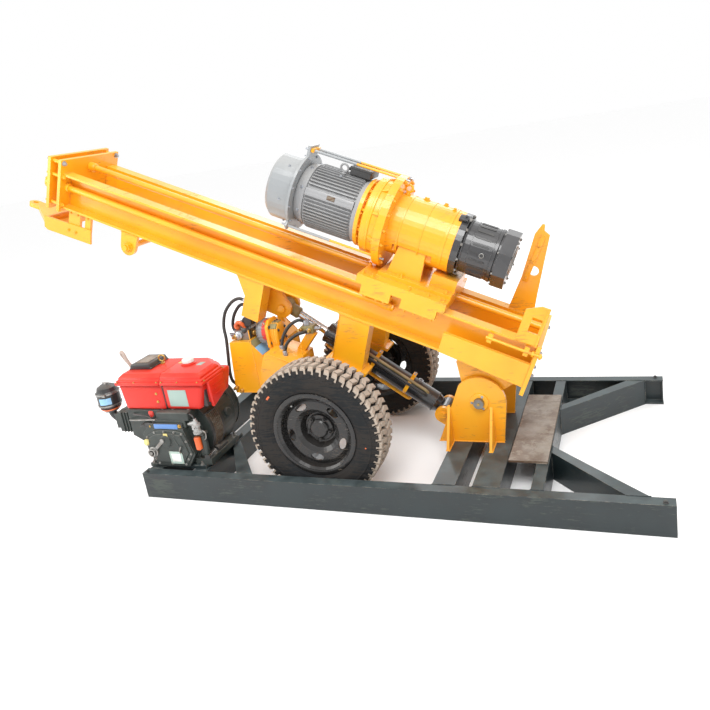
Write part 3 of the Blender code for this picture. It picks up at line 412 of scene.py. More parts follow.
# %% Bolts from a list of places
def bolts(name, places, paint, body, slot, **sizes):
    """One object of bolts; places holds (point, facing, size)."""
    mesh = bpy.data.meshes.new(name)
    mesh.from_pydata([tuple(p[0]) for p in places], [], [])
    mesh.attributes.new("facing", "FLOAT_VECTOR", "POINT")
    mesh.attributes.new("size", "FLOAT", "POINT")
    for k, (_, way, scale) in enumerate(places):
        mesh.attributes["facing"].data[k].vector = Vector(way).normalized()
        mesh.attributes["size"].data[k].value = scale
    ob = run_tree(new_object(name, mesh), bolt_tree, Material=paint, **sizes)
    return finished(ob, body)


# %% A tree that repeats one shape round an axis
ring_tree, given, result = new_tree("repeat_round_axis", [
    ("Count", "Int", 12), ("Centre", "Vector", None), ("Axis", "Vector", None),
    ("Start", "Float", 0.0), ("Material", "Material", None)])
spots = add_node(ring_tree, "GeometryNodePoints", Count=given.outputs["Count"],
                 Position=given.outputs["Centre"])
index = ring_tree.nodes.new("GeometryNodeInputIndex")
share = calc(ring_tree, "DIVIDE", index.outputs[0], given.outputs["Count"])
angle = calc(ring_tree, "MULTIPLY_ADD", share, 2 * pi, given.outputs["Start"])
turn = add_node(ring_tree, "FunctionNodeAxisAngleToRotation", Axis=given.outputs["Axis"],
                Angle=angle)
placed = add_node(ring_tree, "GeometryNodeInstanceOnPoints", Points=spots.outputs[0],
                  Instance=given.outputs["Geometry"], Rotation=turn.outputs[0])
close_tree(ring_tree, placed, given, result)


def round_axis(name, bm, centre, axis, count, paint, body, crease=38.0):
    """Repeat the bmesh, made about the origin, count times round an axis."""
    ob = run_tree(shaded(name, bm, crease), ring_tree, Count=count, Centre=tuple(centre),
                  Axis=tuple(axis), Material=paint)
    return finished(ob, body)


# %% A tree that lays weld ripples along lines
weld_tree, given, result = new_tree("weld_ripples", [
    ("Bead radius", "Float", 0.0035), ("Spacing", "Float", 0.0042),
    ("Material", "Material", None)])
line = add_node(weld_tree, "GeometryNodeMeshToCurve", Mesh=given.outputs["Geometry"])
steps = add_node(weld_tree, "GeometryNodeResampleCurve", {"mode": "LENGTH"},
                 Curve=line.outputs[0], Length=given.outputs["Spacing"])
bead = add_node(weld_tree, "GeometryNodeMeshUVSphere", Segments=6, Rings=4,
                Radius=given.outputs["Bead radius"])
wobble = add_node(weld_tree, "FunctionNodeRandomValue", {"data_type": "FLOAT"},
                  _2=0.85, _3=1.15, Seed=7)
placed = add_node(weld_tree, "GeometryNodeInstanceOnPoints", Points=steps.outputs[0],
                  Instance=bead.outputs["Mesh"])
weld_tree.links.new(wobble.outputs[1], placed.inputs["Scale"])
close_tree(weld_tree, placed, given, result, smooth=True)


def welds(name, lines, paint, body, slot, **sizes):
    """Weld beads along straight or bent lines, each a list of points."""
    points, edges = [], []
    for line_points in lines:
        first = len(points)
        points += [tuple(p) for p in line_points]
        edges += [(first + k, first + k + 1) for k in range(len(line_points) - 1)]
    mesh = bpy.data.meshes.new(name)
    mesh.from_pydata(points, edges, [])
    return finished(run_tree(new_object(name, mesh), weld_tree, Material=paint, **sizes),
                    body)


# %% [markdown]
# ## Effects that several finishes share
#
# Paint, rubber and castings differ, yet they age in the same few ways: edges
# lose their paint, dust settles on what faces up, and no large face keeps one
# even colour. Each of these is a shader group, built once, that gives out a
# mask or a normal. The shader itself stays in each material, with its own
# colours and gloss.

# %% Start a shader group
def new_group(name, inputs, outputs):
    """Shader group with named number inputs and the outputs listed."""
    group = bpy.data.node_groups.new(name, "ShaderNodeTree")
    for label, value in inputs:
        socket = group.interface.new_socket(label, in_out="INPUT", socket_type="NodeSocketFloat")
        socket.default_value = value
    for label, kind in outputs:
        group.interface.new_socket(label, in_out="OUTPUT", socket_type="NodeSocket" + kind)
    return group, group.nodes.new("NodeGroupInput"), group.nodes.new("NodeGroupOutput")


def noise(tree, place, scale, detail=3.0, roughness=0.55):
    """Noise over the object's own coordinates, in waves per metre."""
    return add_node(tree, "ShaderNodeTexNoise", Vector=place, Scale=scale, Detail=detail,
                    Roughness=roughness).outputs["Fac"]


def remap(tree, value, low, high, out_low=0.0, out_high=1.0):
    """Stretch one range of a value over another, with soft ends."""
    return add_node(tree, "ShaderNodeMapRange", {"interpolation_type": "SMOOTHSTEP"}, Value=value,
                    From_Min=low, From_Max=high, To_Min=out_low, To_Max=out_high).outputs["Result"]


def times(tree, a, b):
    """Product of two values or sockets."""
    return calc(tree, "MULTIPLY", a, b)


# %% Worn edges: a mask where paint has rubbed off, and a normal that rounds the edge
wear_group, given, result = new_group(
    "worn_edges", [("Edge radius", 0.003), ("Rubbed", 0.5), ("Patch scale", 40.0)],
    [("Mask", "Float"), ("Normal", "Vector")])
place = wear_group.nodes.new("ShaderNodeTexCoord").outputs["Object"]
flat = wear_group.nodes.new("ShaderNodeNewGeometry").outputs["Normal"]
rounded = add_node(wear_group, "ShaderNodeBevel", {"samples": 4},
                   Radius=given.outputs["Edge radius"]).outputs[0]
same = add_node(wear_group, "ShaderNodeVectorMath", {"operation": "DOT_PRODUCT"},
                _0=flat, _1=rounded).outputs["Value"]
edge = remap(wear_group, same, 0.97, 0.8)
patch = noise(wear_group, place, given.outputs["Patch scale"], 4.0, 0.65)
wanted = calc(wear_group, "SUBTRACT", 1.0, given.outputs["Rubbed"])
patchy = remap(wear_group, calc(wear_group, "SUBTRACT", patch, wanted), -0.05, 0.1)
wear_group.links.new(times(wear_group, edge, patchy), result.inputs["Mask"])
wear_group.links.new(rounded, result.inputs["Normal"])

# %% Settled dust: a mask on what faces up, broken into drifts
dust_group, given, result = new_group(
    "settled_dust", [("Amount", 0.5), ("Drift scale", 7.0)], [("Mask", "Float")])
place = dust_group.nodes.new("ShaderNodeTexCoord").outputs["Object"]
flat = dust_group.nodes.new("ShaderNodeNewGeometry").outputs["Normal"]
up = add_node(dust_group, "ShaderNodeSeparateXYZ", Vector=flat).outputs["Z"]
facing_up = remap(dust_group, up, 0.25, 0.95)
drift = remap(dust_group, noise(dust_group, place, given.outputs["Drift scale"], 6.0, 0.6),
              0.3, 0.72, 0.25, 1.0)
dust_group.links.new(times(dust_group, times(dust_group, facing_up, drift),
                           given.outputs["Amount"]), result.inputs["Mask"])

# %% Uneven colour: slow clouds and a fine grain, for any finish
mottle_group, given, result = new_group(
    "uneven_colour", [("Cloud scale", 3.0), ("Grain scale", 90.0)],
    [("Cloud", "Float"), ("Grain", "Float")])
place = mottle_group.nodes.new("ShaderNodeTexCoord").outputs["Object"]
cloud = remap(mottle_group, noise(mottle_group, place, given.outputs["Cloud scale"], 4.0, 0.5),
              0.3, 0.7)
mottle_group.links.new(cloud, result.inputs["Cloud"])
grain = noise(mottle_group, place, given.outputs["Grain scale"], 2.0, 0.5)
mottle_group.links.new(grain, result.inputs["Grain"])

# %% Scratches and spots: short scuffs and dots where things knocked against it
scuff_group, given, result = new_group(
    "scuffs", [("Length scale", 14.0), ("Share", 0.4)], [("Mask", "Float")])
place = scuff_group.nodes.new("ShaderNodeTexCoord").outputs["Object"]
stretched = add_node(scuff_group, "ShaderNodeMapping", Vector=place, Scale=(1.0, 1.0, 7.0))
lines = noise(scuff_group, stretched.outputs[0], given.outputs["Length scale"], 5.0, 0.75)
where = noise(scuff_group, place, 5.0, 2.0, 0.5)
mixed = calc(scuff_group, "MULTIPLY_ADD", where, 0.5, lines)
limit = calc(scuff_group, "MULTIPLY_ADD", given.outputs["Share"], -0.35, mixed)
scuff_group.links.new(remap(scuff_group, limit, 0.6, 0.52), result.inputs["Mask"])
print("shader groups:", [g.name for g in bpy.data.node_groups if g.type == "SHADER"])

# %% [markdown]
# ## One builder for worn finishes
#
# A finish is a stack: base colour with slow clouds in it, then dust on the
# tops, then scuffs, then bare metal where the edges have rubbed. Each layer is
# mixed over the one below by a mask from a group. Roughness follows the same
# masks, since dust is dull whatever lies under it. A fine bump gives sprayed
# paint its orange peel and a casting its sandy skin.

# %% The builder
def blend(tree, kind, mask, a, b):
    """Mix by a mask of two colours (RGBA) or two numbers (VALUE); each may be a socket."""
    mix = tree.nodes.new("ShaderNodeMix")
    mix.data_type = "FLOAT" if kind == "VALUE" else kind
    tree.links.new(mask, mix.inputs["Factor"])
    for name, value in (("A", a), ("B", b)):
        plain_colour = kind == "RGBA" and not isinstance(value, bpy.types.NodeSocket)
        feed(tree, next(i for i in mix.inputs if i.name == name and i.type == kind),
             (*value, 1.0) if plain_colour else value)
    return next(o for o in mix.outputs if o.type == kind)


def use_group(tree, group, **values):
    """Node of a shader group, with some of its inputs set."""
    node = tree.nodes.new("ShaderNodeGroup")
    node.node_tree = group
    for key, value in values.items():
        node.inputs[key.replace("_", " ")].default_value = value
    return node


DUST_ROUGH, SCUFF_ROUGH, BARE_ROUGH, COAT_ROUGH, BUMP_STRENGTH = 0.85, 0.75, 0.42, 0.12, 0.35


def finish_material(name, base, cloud, rough, dust=(0.45, 0.4, 0.33), bare=(0.3, 0.29, 0.28),
                    metallic=0.0, coat=0.0, dust_amount=0.3, rubbed=0.4, edge=0.003,
                    cloud_scale=3.0, grain_scale=90.0, grain_height=0.0004, grain_mix=0.1,
                    scuff_share=0.0, scuff=None, scuff_length=14.0, patch_scale=40.0,
                    bare_metal=0.6, dust_scale=7.0):
    """Worn finish from base colour up; colours are linear red, green and blue."""
    mat = bpy.data.materials.new(name)
    mat.use_nodes = True
    tree = mat.node_tree
    shader = tree.nodes["Principled BSDF"]
    mottle = use_group(tree, mottle_group, Cloud_scale=cloud_scale, Grain_scale=grain_scale)
    settled = use_group(tree, dust_group, Amount=dust_amount, Drift_scale=dust_scale)
    worn = use_group(tree, wear_group, Edge_radius=edge, Rubbed=rubbed, Patch_scale=patch_scale)
    clouds, rubbed_off = mottle.outputs["Cloud"], worn.outputs["Mask"]
    colour = blend(tree, "RGBA", clouds, base, cloud)
    speck = times(tree, mottle.outputs["Grain"], grain_mix)
    colour = blend(tree, "RGBA", speck, colour, cloud)
    gloss = blend(tree, "VALUE", clouds, rough, min(1.0, rough * 1.25))
    layers = [(settled.outputs["Mask"], dust, DUST_ROUGH), (rubbed_off, bare, BARE_ROUGH)]
    if scuff_share > 0:
        marks = use_group(tree, scuff_group, Length_scale=scuff_length, Share=scuff_share)
        layers.insert(0, (marks.outputs["Mask"], scuff or dust, SCUFF_ROUGH))
    for mask, layer_colour, layer_rough in layers:
        colour = blend(tree, "RGBA", mask, colour, layer_colour)
        gloss = blend(tree, "VALUE", mask, gloss, layer_rough)
    if metallic < 0.99 and bare_metal > 0:
        metallic = blend(tree, "VALUE", rubbed_off, metallic, bare_metal)
    bump = add_node(tree, "ShaderNodeBump", Height=mottle.outputs["Grain"],
                    Normal=worn.outputs["Normal"], Strength=BUMP_STRENGTH, Distance=grain_height)
    for name, value in (("Base Color", colour), ("Roughness", gloss), ("Metallic", metallic),
                        ("Coat Weight", coat), ("Coat Roughness", COAT_ROUGH),
                        ("Normal", bump.outputs[0])):
        feed(tree, shader.inputs[name], value)
    mat.diffuse_color = (*base, 1.0)
    return mat


def plain_finish(name, base, cloud, rough, dust_amount, rubbed, coat=0.0, grain_mix=0.1):
    """Finish of a small part that shows no metal where it is rubbed."""
    return finish_material(name, base, cloud, rough, dust_amount=dust_amount, rubbed=rubbed,
                           coat=coat, grain_mix=grain_mix, bare_metal=0.0)


print("finish builder ready")

# %% [markdown]
# ## The finishes of this rig
#
# The mast is sprayed in a warm glossy yellow that turns orange in the shade.
# The rails are black, scuffed to grey-brown on their tops. The engine has a red
# hopper over dark castings, the motor is plain grey, and the small parts are
# zinc, brass and bare steel. Colours are set as linear values.

# %% Paints
YELLOW = finish_material("yellow_enamel", (0.92, 0.43, 0.012), (0.86, 0.345, 0.007), 0.31,
                         dust=(0.94, 0.58, 0.13), bare=(0.42, 0.2, 0.06), coat=0.35,
                         dust_amount=0.24, rubbed=0.4, edge=0.0022, scuff_share=0.14,
                         scuff=(0.6, 0.27, 0.03), bare_metal=0.1, grain_height=0.00025)
RAIL_BLACK = finish_material("rail_black", (0.007, 0.012, 0.014), (0.013, 0.022, 0.024), 0.38,
                             dust=(0.078, 0.102, 0.106), bare=(0.23, 0.21, 0.17), coat=0.25,
                             dust_amount=0.8, rubbed=0.5, edge=0.004, scuff_share=0.22,
                             scuff=(0.045, 0.056, 0.048), cloud_scale=5.0, bare_metal=0.25,
                             patch_scale=22.0, dust_scale=11.0, grain_height=0.0008)
RIM_BLACK = finish_material("rim_black", (0.01, 0.01, 0.011), (0.018, 0.017, 0.016), 0.2,
                            dust=(0.12, 0.1, 0.085), bare=(0.16, 0.14, 0.12), coat=0.3,
                            dust_amount=0.14, rubbed=0.42, edge=0.002, scuff_share=0.1,
                            scuff=(0.09, 0.075, 0.06))
CHUCK_BLACK = finish_material("chuck_black", (0.02, 0.02, 0.022), (0.035, 0.034, 0.036), 0.25,
                              dust=(0.2, 0.19, 0.18), bare=(0.34, 0.33, 0.32), coat=0.6,
                              dust_amount=0.2, rubbed=0.5, edge=0.0022, cloud_scale=8.0)
BARREL_BLACK = finish_material("barrel_black", (0.014, 0.014, 0.015), (0.024, 0.024, 0.025), 0.2,
                               dust=(0.24, 0.22, 0.19), coat=0.7, dust_amount=0.3,
                               rubbed=0.4, edge=0.002)
HOPPER_RED = finish_material("hopper_red", (0.66, 0.026, 0.014), (0.58, 0.018, 0.01), 0.3,
                             dust=(0.76, 0.15, 0.08), bare=(0.45, 0.18, 0.12), coat=0.22,
                             dust_amount=0.22, rubbed=0.38, edge=0.0025, bare_metal=0.1)
MOTOR_GREY = finish_material("motor_grey", (0.29, 0.292, 0.298), (0.23, 0.232, 0.236), 0.42,
                             dust=(0.42, 0.41, 0.38), bare=(0.36, 0.35, 0.33), coat=0.2,
                             dust_amount=0.45, rubbed=0.42, edge=0.0015, grain_height=0.0006)
COWL_GREY = finish_material("cowl_grey", (0.32, 0.336, 0.345), (0.255, 0.268, 0.276), 0.34,
                            dust=(0.58, 0.56, 0.52), bare=(0.28, 0.27, 0.26), coat=0.3,
                            dust_amount=0.35, rubbed=0.4, edge=0.0022)

# %% Castings, bare metal and rubber
ENGINE_IRON = finish_material("engine_casting", (0.036, 0.045, 0.04), (0.022, 0.028, 0.025), 0.46,
                              dust=(0.22, 0.21, 0.18), bare=(0.24, 0.23, 0.21), coat=0.15,
                              dust_amount=0.45, rubbed=0.5, edge=0.0025, cloud_scale=9.0,
                              grain_scale=260.0, grain_height=0.0012, grain_mix=0.35)
# Satin black of the black parts; the same black is also painted shade in the cowl's slots, the
# hopper's seam and a hole in the pump housing.
SATIN_BLACK_AND_SHADE = finish_material("satin_black_parts_and_painted_shade", (0.02, 0.02, 0.021), (0.032, 0.032, 0.032),
                             0.38, dust=(0.22, 0.21, 0.19), coat=0.2, dust_amount=0.4,
                             rubbed=0.45, edge=0.0018)
RUSTED = finish_material("rusted_flat", (0.235, 0.205, 0.17), (0.17, 0.13, 0.09), 0.78,
                         dust=(0.38, 0.355, 0.32), bare=(0.115, 0.08, 0.055), bare_metal=0.0,
                         dust_amount=0.7, rubbed=0.6, edge=0.004, cloud_scale=9.0,
                         grain_scale=150.0, grain_height=0.0014, grain_mix=0.6,
                         scuff_share=0.55, scuff=(0.1, 0.055, 0.03), scuff_length=20.0)
ZINC = finish_material("zinc_plated", (0.52, 0.54, 0.57), (0.36, 0.38, 0.42), 0.34,
                       metallic=0.85, dust_amount=0.2, rubbed=0.35, edge=0.0012,
                       cloud_scale=30.0, bare_metal=0.85, grain_height=0.0002)
STEEL = finish_material("plain_steel", (0.36, 0.36, 0.35), (0.24, 0.22, 0.2), 0.38,
                        metallic=0.9, dust_amount=0.25, rubbed=0.35, edge=0.0012,
                        cloud_scale=20.0, bare_metal=0.9, grain_height=0.0003)
BRASS = finish_material("brass", (0.66, 0.44, 0.13), (0.5, 0.32, 0.1), 0.32, metallic=0.95,
                        dust_amount=0.15, rubbed=0.3, edge=0.001, cloud_scale=30.0,
                        bare_metal=0.95)
CHROME = finish_material("chrome_rod", (0.72, 0.73, 0.74), (0.62, 0.63, 0.64), 0.1,
                         metallic=1.0, dust_amount=0.08, rubbed=0.1, edge=0.0008,
                         cloud_scale=6.0, grain_height=0.00005)
ALLOY = finish_material("cast_alloy", (0.5, 0.5, 0.49), (0.36, 0.36, 0.35), 0.5,
                        metallic=0.6, dust_amount=0.35, rubbed=0.45, edge=0.0015,
                        cloud_scale=25.0, grain_scale=300.0, grain_height=0.0006)
TYRE_WALL = finish_material("tyre_sidewall", (0.014, 0.016, 0.018), (0.022, 0.023, 0.024), 0.72,
                            dust=(0.046, 0.042, 0.039), bare=(0.046, 0.041, 0.038),
                            dust_amount=0.16, rubbed=0.52, edge=0.003, bare_metal=0.0,
                            cloud_scale=8.0, grain_scale=200.0, grain_height=0.0005,
                            scuff_share=0.6, scuff=(0.03, 0.027, 0.025), grain_mix=0.3)
TYRE_TREAD = finish_material("tyre_tread_dusty", (0.43, 0.36, 0.295), (0.33, 0.27, 0.215), 0.9,
                             dust=(0.56, 0.49, 0.42), bare=(0.52, 0.45, 0.38), bare_metal=0.0,
                             dust_amount=0.5, rubbed=0.55, edge=0.003, cloud_scale=20.0,
                             grain_scale=250.0, grain_height=0.0008, grain_mix=0.5)
HOSE_BLACK = finish_material("hose_black", (0.018, 0.018, 0.018), (0.03, 0.029, 0.028), 0.42,
                             dust=(0.22, 0.2, 0.17), bare=(0.06, 0.055, 0.05), bare_metal=0.0,
                             dust_amount=0.35, rubbed=0.2, edge=0.001, grain_scale=400.0)
HOSE_TAN = finish_material("hose_tan", (0.34, 0.26, 0.12), (0.22, 0.15, 0.06), 0.46,
                           dust=(0.5, 0.43, 0.3), bare=(0.3, 0.22, 0.12), bare_metal=0.0,
                           dust_amount=0.4, rubbed=0.2, edge=0.001, cloud_scale=12.0)

# %% Small plain finishes: caps, blank sheets, a blue for a label and a painted reflection, a handle and the floor
WHITE_CAP = plain_finish("white_cap", (0.78, 0.78, 0.75), (0.66, 0.66, 0.63), 0.35, 0.15, 0.2)
LABEL_PALE = plain_finish("blank_pale_sheet", (0.38, 0.48, 0.43), (0.3, 0.4, 0.36), 0.34,
                          0.15, 0.2)
LABEL_BLUE = plain_finish("blank_blue_sheet", (0.12, 0.27, 0.62), (0.1, 0.22, 0.5), 0.3,
                          0.15, 0.2)
# Blue of a label, and also of a painted reflection on the tank's sloped top.
BLUE_LABEL_AND_REFLECTION = plain_finish("blue_label_and_painted_reflection", (0.28, 0.55, 0.8), (0.22, 0.46, 0.72), 0.22, 0.25, 0.2,
                         coat=0.4)
RED_PART = plain_finish("red_part", (0.72, 0.045, 0.03), (0.55, 0.03, 0.02), 0.32, 0.2, 0.3,
                        coat=0.3)
ORANGE_PART = plain_finish("orange_part", (0.8, 0.16, 0.035), (0.66, 0.11, 0.02), 0.35,
                           0.2, 0.3, coat=0.3)
PALE_HANDLE = plain_finish("pale_handle", (0.46, 0.38, 0.33), (0.36, 0.28, 0.24), 0.42, 0.3, 0.3)
FLOOR = plain_finish("pale_floor", (0.985, 0.985, 0.985), (0.98, 0.98, 0.98), 0.8, 0.0, 0.0,
                     grain_mix=0.0)
for paint, specular in ((TYRE_WALL, 0.12), (HOPPER_RED, 0.3), (RIM_BLACK, 0.35)):
    paint.node_tree.nodes["Principled BSDF"].inputs["Specular IOR Level"].default_value = specular
print("finishes:", len(bpy.data.materials))

# %% [markdown]
# ## Dress the CAD solids
#
# Where a solid already has the right shape it stays and only gets its finish.
# A table from finish to nodes keeps that readable, and every node that isn't
# replaced later must be in it.

# %% Finish of each CAD node
PAINTED = {
    YELLOW: "bracket_near bracket_far tail_lugs beam_near beam_far head_plate_inner "
            "head_plate_outer foot_plate guide_plate side_tube_near side_tube_far feed_tube "
            "hitch stay_lugs rear_post strut_near strut_far hinge_ears oil_tank pump_box "
            "carriage reducer lift_pipe tie_rods",
    RAIL_BLACK: "rail_near rail_far cross_a cross_b cross_c cross_front cross_mid "
                "diagonal_near diagonal_far diagonal_engine engine_bed axle",
    RIM_BLACK: "rim_near rim_far",
    CHUCK_BLACK: "chuck",
    BARREL_BLACK: "lift_barrel",
    HOPPER_RED: "engine_cover",
    MOTOR_GREY: "motor pump_motor",
    COWL_GREY: "fan_cowl",
    ENGINE_IRON: "crankcase flywheel",
    SATIN_BLACK_AND_SHADE: "air_cleaner engine_lid terminal_box",
    RUSTED: "landing_plate",
    STEEL: "hinge_pin valve_block",
    CHROME: "lift_rod",
    TYRE_WALL: "tyre_near tyre_far",
    HOSE_BLACK: "hose_rear hose_valve hose_left hose_right",
}


def dress(node, paint):
    """Put one finish on a CAD node, its mesh left as it is."""
    slots = NODES[node].material_slots
    if not slots:
        NODES[node].data.materials.append(paint)
    for slot in slots:
        slot.material = paint


dressed = set()
for paint, names in PAINTED.items():
    for node in names.split():
        dress(node, paint)
        dressed.add(node)
print("dressed", len(dressed), "of", len(NODES), "nodes; left:", sorted(set(NODES) - dressed))

# %% [markdown]
# ## Tyres
#
# A truck tyre is a round carcass with ribbed walls and a ring of deep rubber
# lugs. The carcass is one turned profile. The tread is a rule: the same few
# blocks, set down once for each step round the wheel, so the ring tree repeats
# them. The blocks are dusty and the walls are dark, so they are two pieces.

# %% Tyre carcass
TYRE_CORE, LUG_TOP, LUGS = 0.343, 0.3655, 52


def tyre_carcass(where):
    """Turned carcass with a bead ring, wall ribs and a rounded shoulder."""
    wall = [(0.0715, 0.204), (0.074, 0.227), (0.08, 0.23), (0.083, 0.236),
            (0.0838, 0.24), (0.0858, 0.2412), (0.0872, 0.245), (0.0905, 0.26),
            (0.0922, 0.263), (0.0936, 0.269), (0.0946, 0.286), (0.095, 0.296),
            (0.0946, 0.306), (0.0962, 0.308), (0.0962, 0.312), (0.0938, 0.3145),
            (0.0926, 0.326), (0.088, 0.337), (0.08, TYRE_CORE), (0.04, TYRE_CORE + 0.003)]
    bm = bmesh.new()
    add_turned(bm, WHEEL[where], (0, SIDE[where], 0), [(-a, r) for a, r in wall] + wall[::-1], 96)
    ob = piece("tyre_carcass_" + where, bm, TYRE_WALL, "wheel_" + where)
    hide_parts("tyre_" + where)


def add_lug(bm, y0, y1, skew, width, base, top, lean=0.0):
    """One rubber block across the tread, at the top of a wheel centred on the origin."""
    low, high = width / 2, width / 2 * 0.84
    rings = []
    for r, w in ((base, low), (top - 0.003, high), (top, high * 0.9)):
        lean_in = lean * (r - base) / (top - base)
        ya, yb = y0 + lean_in * (y0 < 0), y1 - lean_in * (y1 > 0)
        corners = [(x + skew * s, y) for x, y, s in ((-w, ya, -1), (w, ya, -1),
                                                     (w, yb, 1), (-w, yb, 1))]
        rings.append([bm.verts.new((x, y, sqrt(max(r * r - x ** 2, 0)))) for x, y in corners])
    add_skin(bm, rings)
    bm.faces.new(rings[0])
    bm.faces.new(rings[-1])


def tyre_tread(where):
    """Shoulder lugs on both sides, two staggered rows between them, and buttresses."""
    pitch = 2 * pi * LUG_TOP / LUGS
    lugs, shoulder = bmesh.new(), bmesh.new()
    for side in (-1, 1):
        add_lug(lugs, *sorted((side * 0.09, side * 0.053)), 0.006 * side, pitch * 0.72, 0.33,
                LUG_TOP - 0.0035, 0.006)
        add_lug(lugs, *sorted((side * 0.048, side * 0.006)), -0.007 * side, pitch * 0.7, 0.34,
                LUG_TOP)
        add_prism(shoulder, [(-0.0085, side * 0.0895, 0.318), (0.0085, side * 0.0895, 0.318),
                             (0.012, side * 0.0835, 0.35), (-0.012, side * 0.0835, 0.35)],
                  (0, 0.0065 * side, 0), 0.0015, 1)
    for name, bm, paint in (("tyre_tread_", lugs, TYRE_TREAD),
                            ("tyre_buttress_", shoulder, TYRE_WALL)):
        made = round_axis(name + where, bm, WHEEL[where], (0, 1, 0), LUGS, paint,
                          "wheel_" + where, crease=30)
        print(made.name, len(made.data.polygons), "faces for", LUGS, "steps")


for where in SIDE:
    tyre_carcass(where)
    tyre_tread(where)

# %% [markdown]
# ## Wheel centres
#
# The rim and its dish are CAD solids. In the hollow of the dish sit the wheel
# studs with their nuts, a ring of smaller hub bolts and the bearing cap. They
# are bolts on points again, in the rim's own black, since the whole wheel was
# sprayed at once.

# %% Studs, hub flange and bearing cap
def wheel_centre(where):
    """Bearing cap, nuts, rim edge and valve of one wheel."""
    side, c = SIDE[where], WHEEL[where]
    out = Vector((0, side, 0))
    cap, edge, valve = bmesh.new(), bmesh.new(), bmesh.new()
    add_turned(cap, c, out, [(-0.015, 0), (-0.015, 0.074), (-0.004, 0.074), (0.001, 0.07),
                             (0.003, 0.05), (0.008, 0.046), (0.015, 0.043), (0.017, 0.03),
                             (0.012, 0.026), (0.012, 0)], 40)
    add_turned(edge, c, out, [(0.0795, 0.2045), (0.0795, 0.2235), (0.083, 0.2262),
                              (0.0838, 0.224), (0.0838, 0.2085), (0.0818, 0.204)], 72)
    foot = in_plane(c, 0.186, 128, side * 0.04)
    add_pipe(valve, [foot, foot + Vector((0.004, side * 0.012, 0.002)),
                     foot + Vector((0.012, side * 0.03, 0.004))], 0.0045, 8)
    studs = [(in_plane(c, 0.061, a, side * 0.0015), out, 1.0) for a in evenly(5, -90)]
    studs += [(in_plane(c, 0.0365, a, side * 0.016), out, 0.3) for a in evenly(8, 22.5)]
    piece("hub_cap_" + where, cap, RIM_BLACK, "wheel_" + where)
    bolts("wheel_nuts_" + where, studs, RIM_BLACK, "wheel_" + where, "black_paint",
          Head_radius=0.0115, Head_height=0.012, Washer_radius=0.014, Thread_radius=0.0055,
          Thread_height=0.012)
    piece("rim_edge_" + where, edge, RIM_BLACK, "wheel_" + where)
    piece("tyre_valve_" + where, valve, STEEL, "wheel_" + where)


def tyre_mark(name, where, radius, degrees, half):
    """Small blank sheet stuck flat on the tyre's wall."""
    out = in_plane(Vector((0, 0, 0)), 1, degrees)
    along = in_plane(Vector((0, 0, 0)), 1, degrees + 90)
    bm = bmesh.new()
    add_box(bm, in_plane(WHEEL[where], radius, degrees, SIDE[where] * 0.0952),
            (half[0], half[1], 0.0006), (along, out, ACROSS), bevel=0.0002)
    piece(name, bm, ORANGE_PART, "wheel_" + where)


for where in SIDE:
    wheel_centre(where)
tyre_mark("tyre_orange_blank_sheet", "near", 0.297, 136, (0.0125, 0.005))
tyre_mark("tyre_orange_dot", "near", 0.283, -12, (0.0035, 0.0035))
print("wheel centres done; pieces on wheel_near:", piece_count["wheel_near"])

# %% [markdown]
# ## Skid frame
#
# The rails and cross members are welded from plate, so the frame needs weld
# beads where members meet, and end caps with their bolts. Ripples laid along a
# line by a tree look more like a weld than a plain round strip, and cost few
# faces.

# %% Welds of the skid
IN_EDGE, WELD_OUT = RAIL_EDGE - RAIL_WIDE, 0.0012
CROSS_RANGES = {n: (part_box(n)[0].x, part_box(n)[1].x)
                for n in ("cross_a", "cross_b", "cross_c", "cross_front", "cross_mid")}
weld_lines = []
for x0, x1 in CROSS_RANGES.values():
    for side in (-1, 1):
        y = side * (IN_EDGE - WELD_OUT)
        weld_lines.append([(x0, y, 0.012), (x0, y, RAIL_TOP), (x1, y, RAIL_TOP), (x1, y, 0.012)])
for side in (-1, 1):
    tip, root = side * (IN_EDGE - WELD_OUT), CROSS_RANGES["cross_c"][1] + WELD_OUT
    for (xa, ya), (xb, yb) in (((1.64, tip), (1.735, tip)),
                               ((root, side * 0.205), (root, side * 0.27))):
        weld_lines.append([(xa, ya, 0.004), (xa, ya, RAIL_TOP), (xb, yb, RAIL_TOP),
                           (xb, yb, 0.004)])
    lo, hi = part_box("diagonal_far" if side > 0 else "diagonal_near")
    print("diagonal from x", round(lo.x, 3), "to", round(hi.x, 3))
welds("skid_welds", weld_lines, RAIL_BLACK, "chassis", "black_paint", Bead_radius=0.0038)

# %% Plates on the rails' ends, and their bolts
bm = bmesh.new()
end_bolts = []
for side in (-1, 1):
    y = side * (RAIL_EDGE - RAIL_WIDE / 2)
    for x, out in ((1.8285, 1), (-0.8685, -1)):
        add_box(bm, (x - out * 0.004, y, RAIL_TOP / 2),
                (0.003, RAIL_WIDE / 2 - 0.009, RAIL_TOP / 2 - 0.01), bevel=0.0015)
    end_bolts += [(Vector((x, side * (RAIL_EDGE - 0.02), RAIL_TOP)), (0, 0, 1), scale)
                  for x, scale in ((1.79, 1.0), (-0.845, 0.8))]
piece("rail_end_plates", bm, RAIL_BLACK, "chassis")
bolts("rail_end_bolts", end_bolts, SATIN_BLACK_AND_SHADE, "chassis", "black_paint", Head_radius=0.009,
      Head_height=0.007, Washer_radius=0.012)
print("skid:", len(weld_lines), "weld lines,", len(end_bolts), "bolts")

# %% Landing plate: four tack welds that hold it on the rail
lo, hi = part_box("landing_plate")
tacks = [[(x, y, RAIL_TOP + 0.001), (x + 0.018, y, RAIL_TOP + 0.001)]
         for x in (1.245, 1.27) for y in (lo.y - 0.001, hi.y + 0.001)]
welds("landing_plate_tacks", tacks, RUSTED, "chassis", "rusty_steel", Bead_radius=0.004)

# %% [markdown]
# ## Mast hinge
#
# Two upright brackets carry the pin. Each is cut from plate and welded to the
# cross members, with ribs on the outside. A round keeper disc with three bolts
# holds the pin. The welds go round the foot of the plate and up each rib.

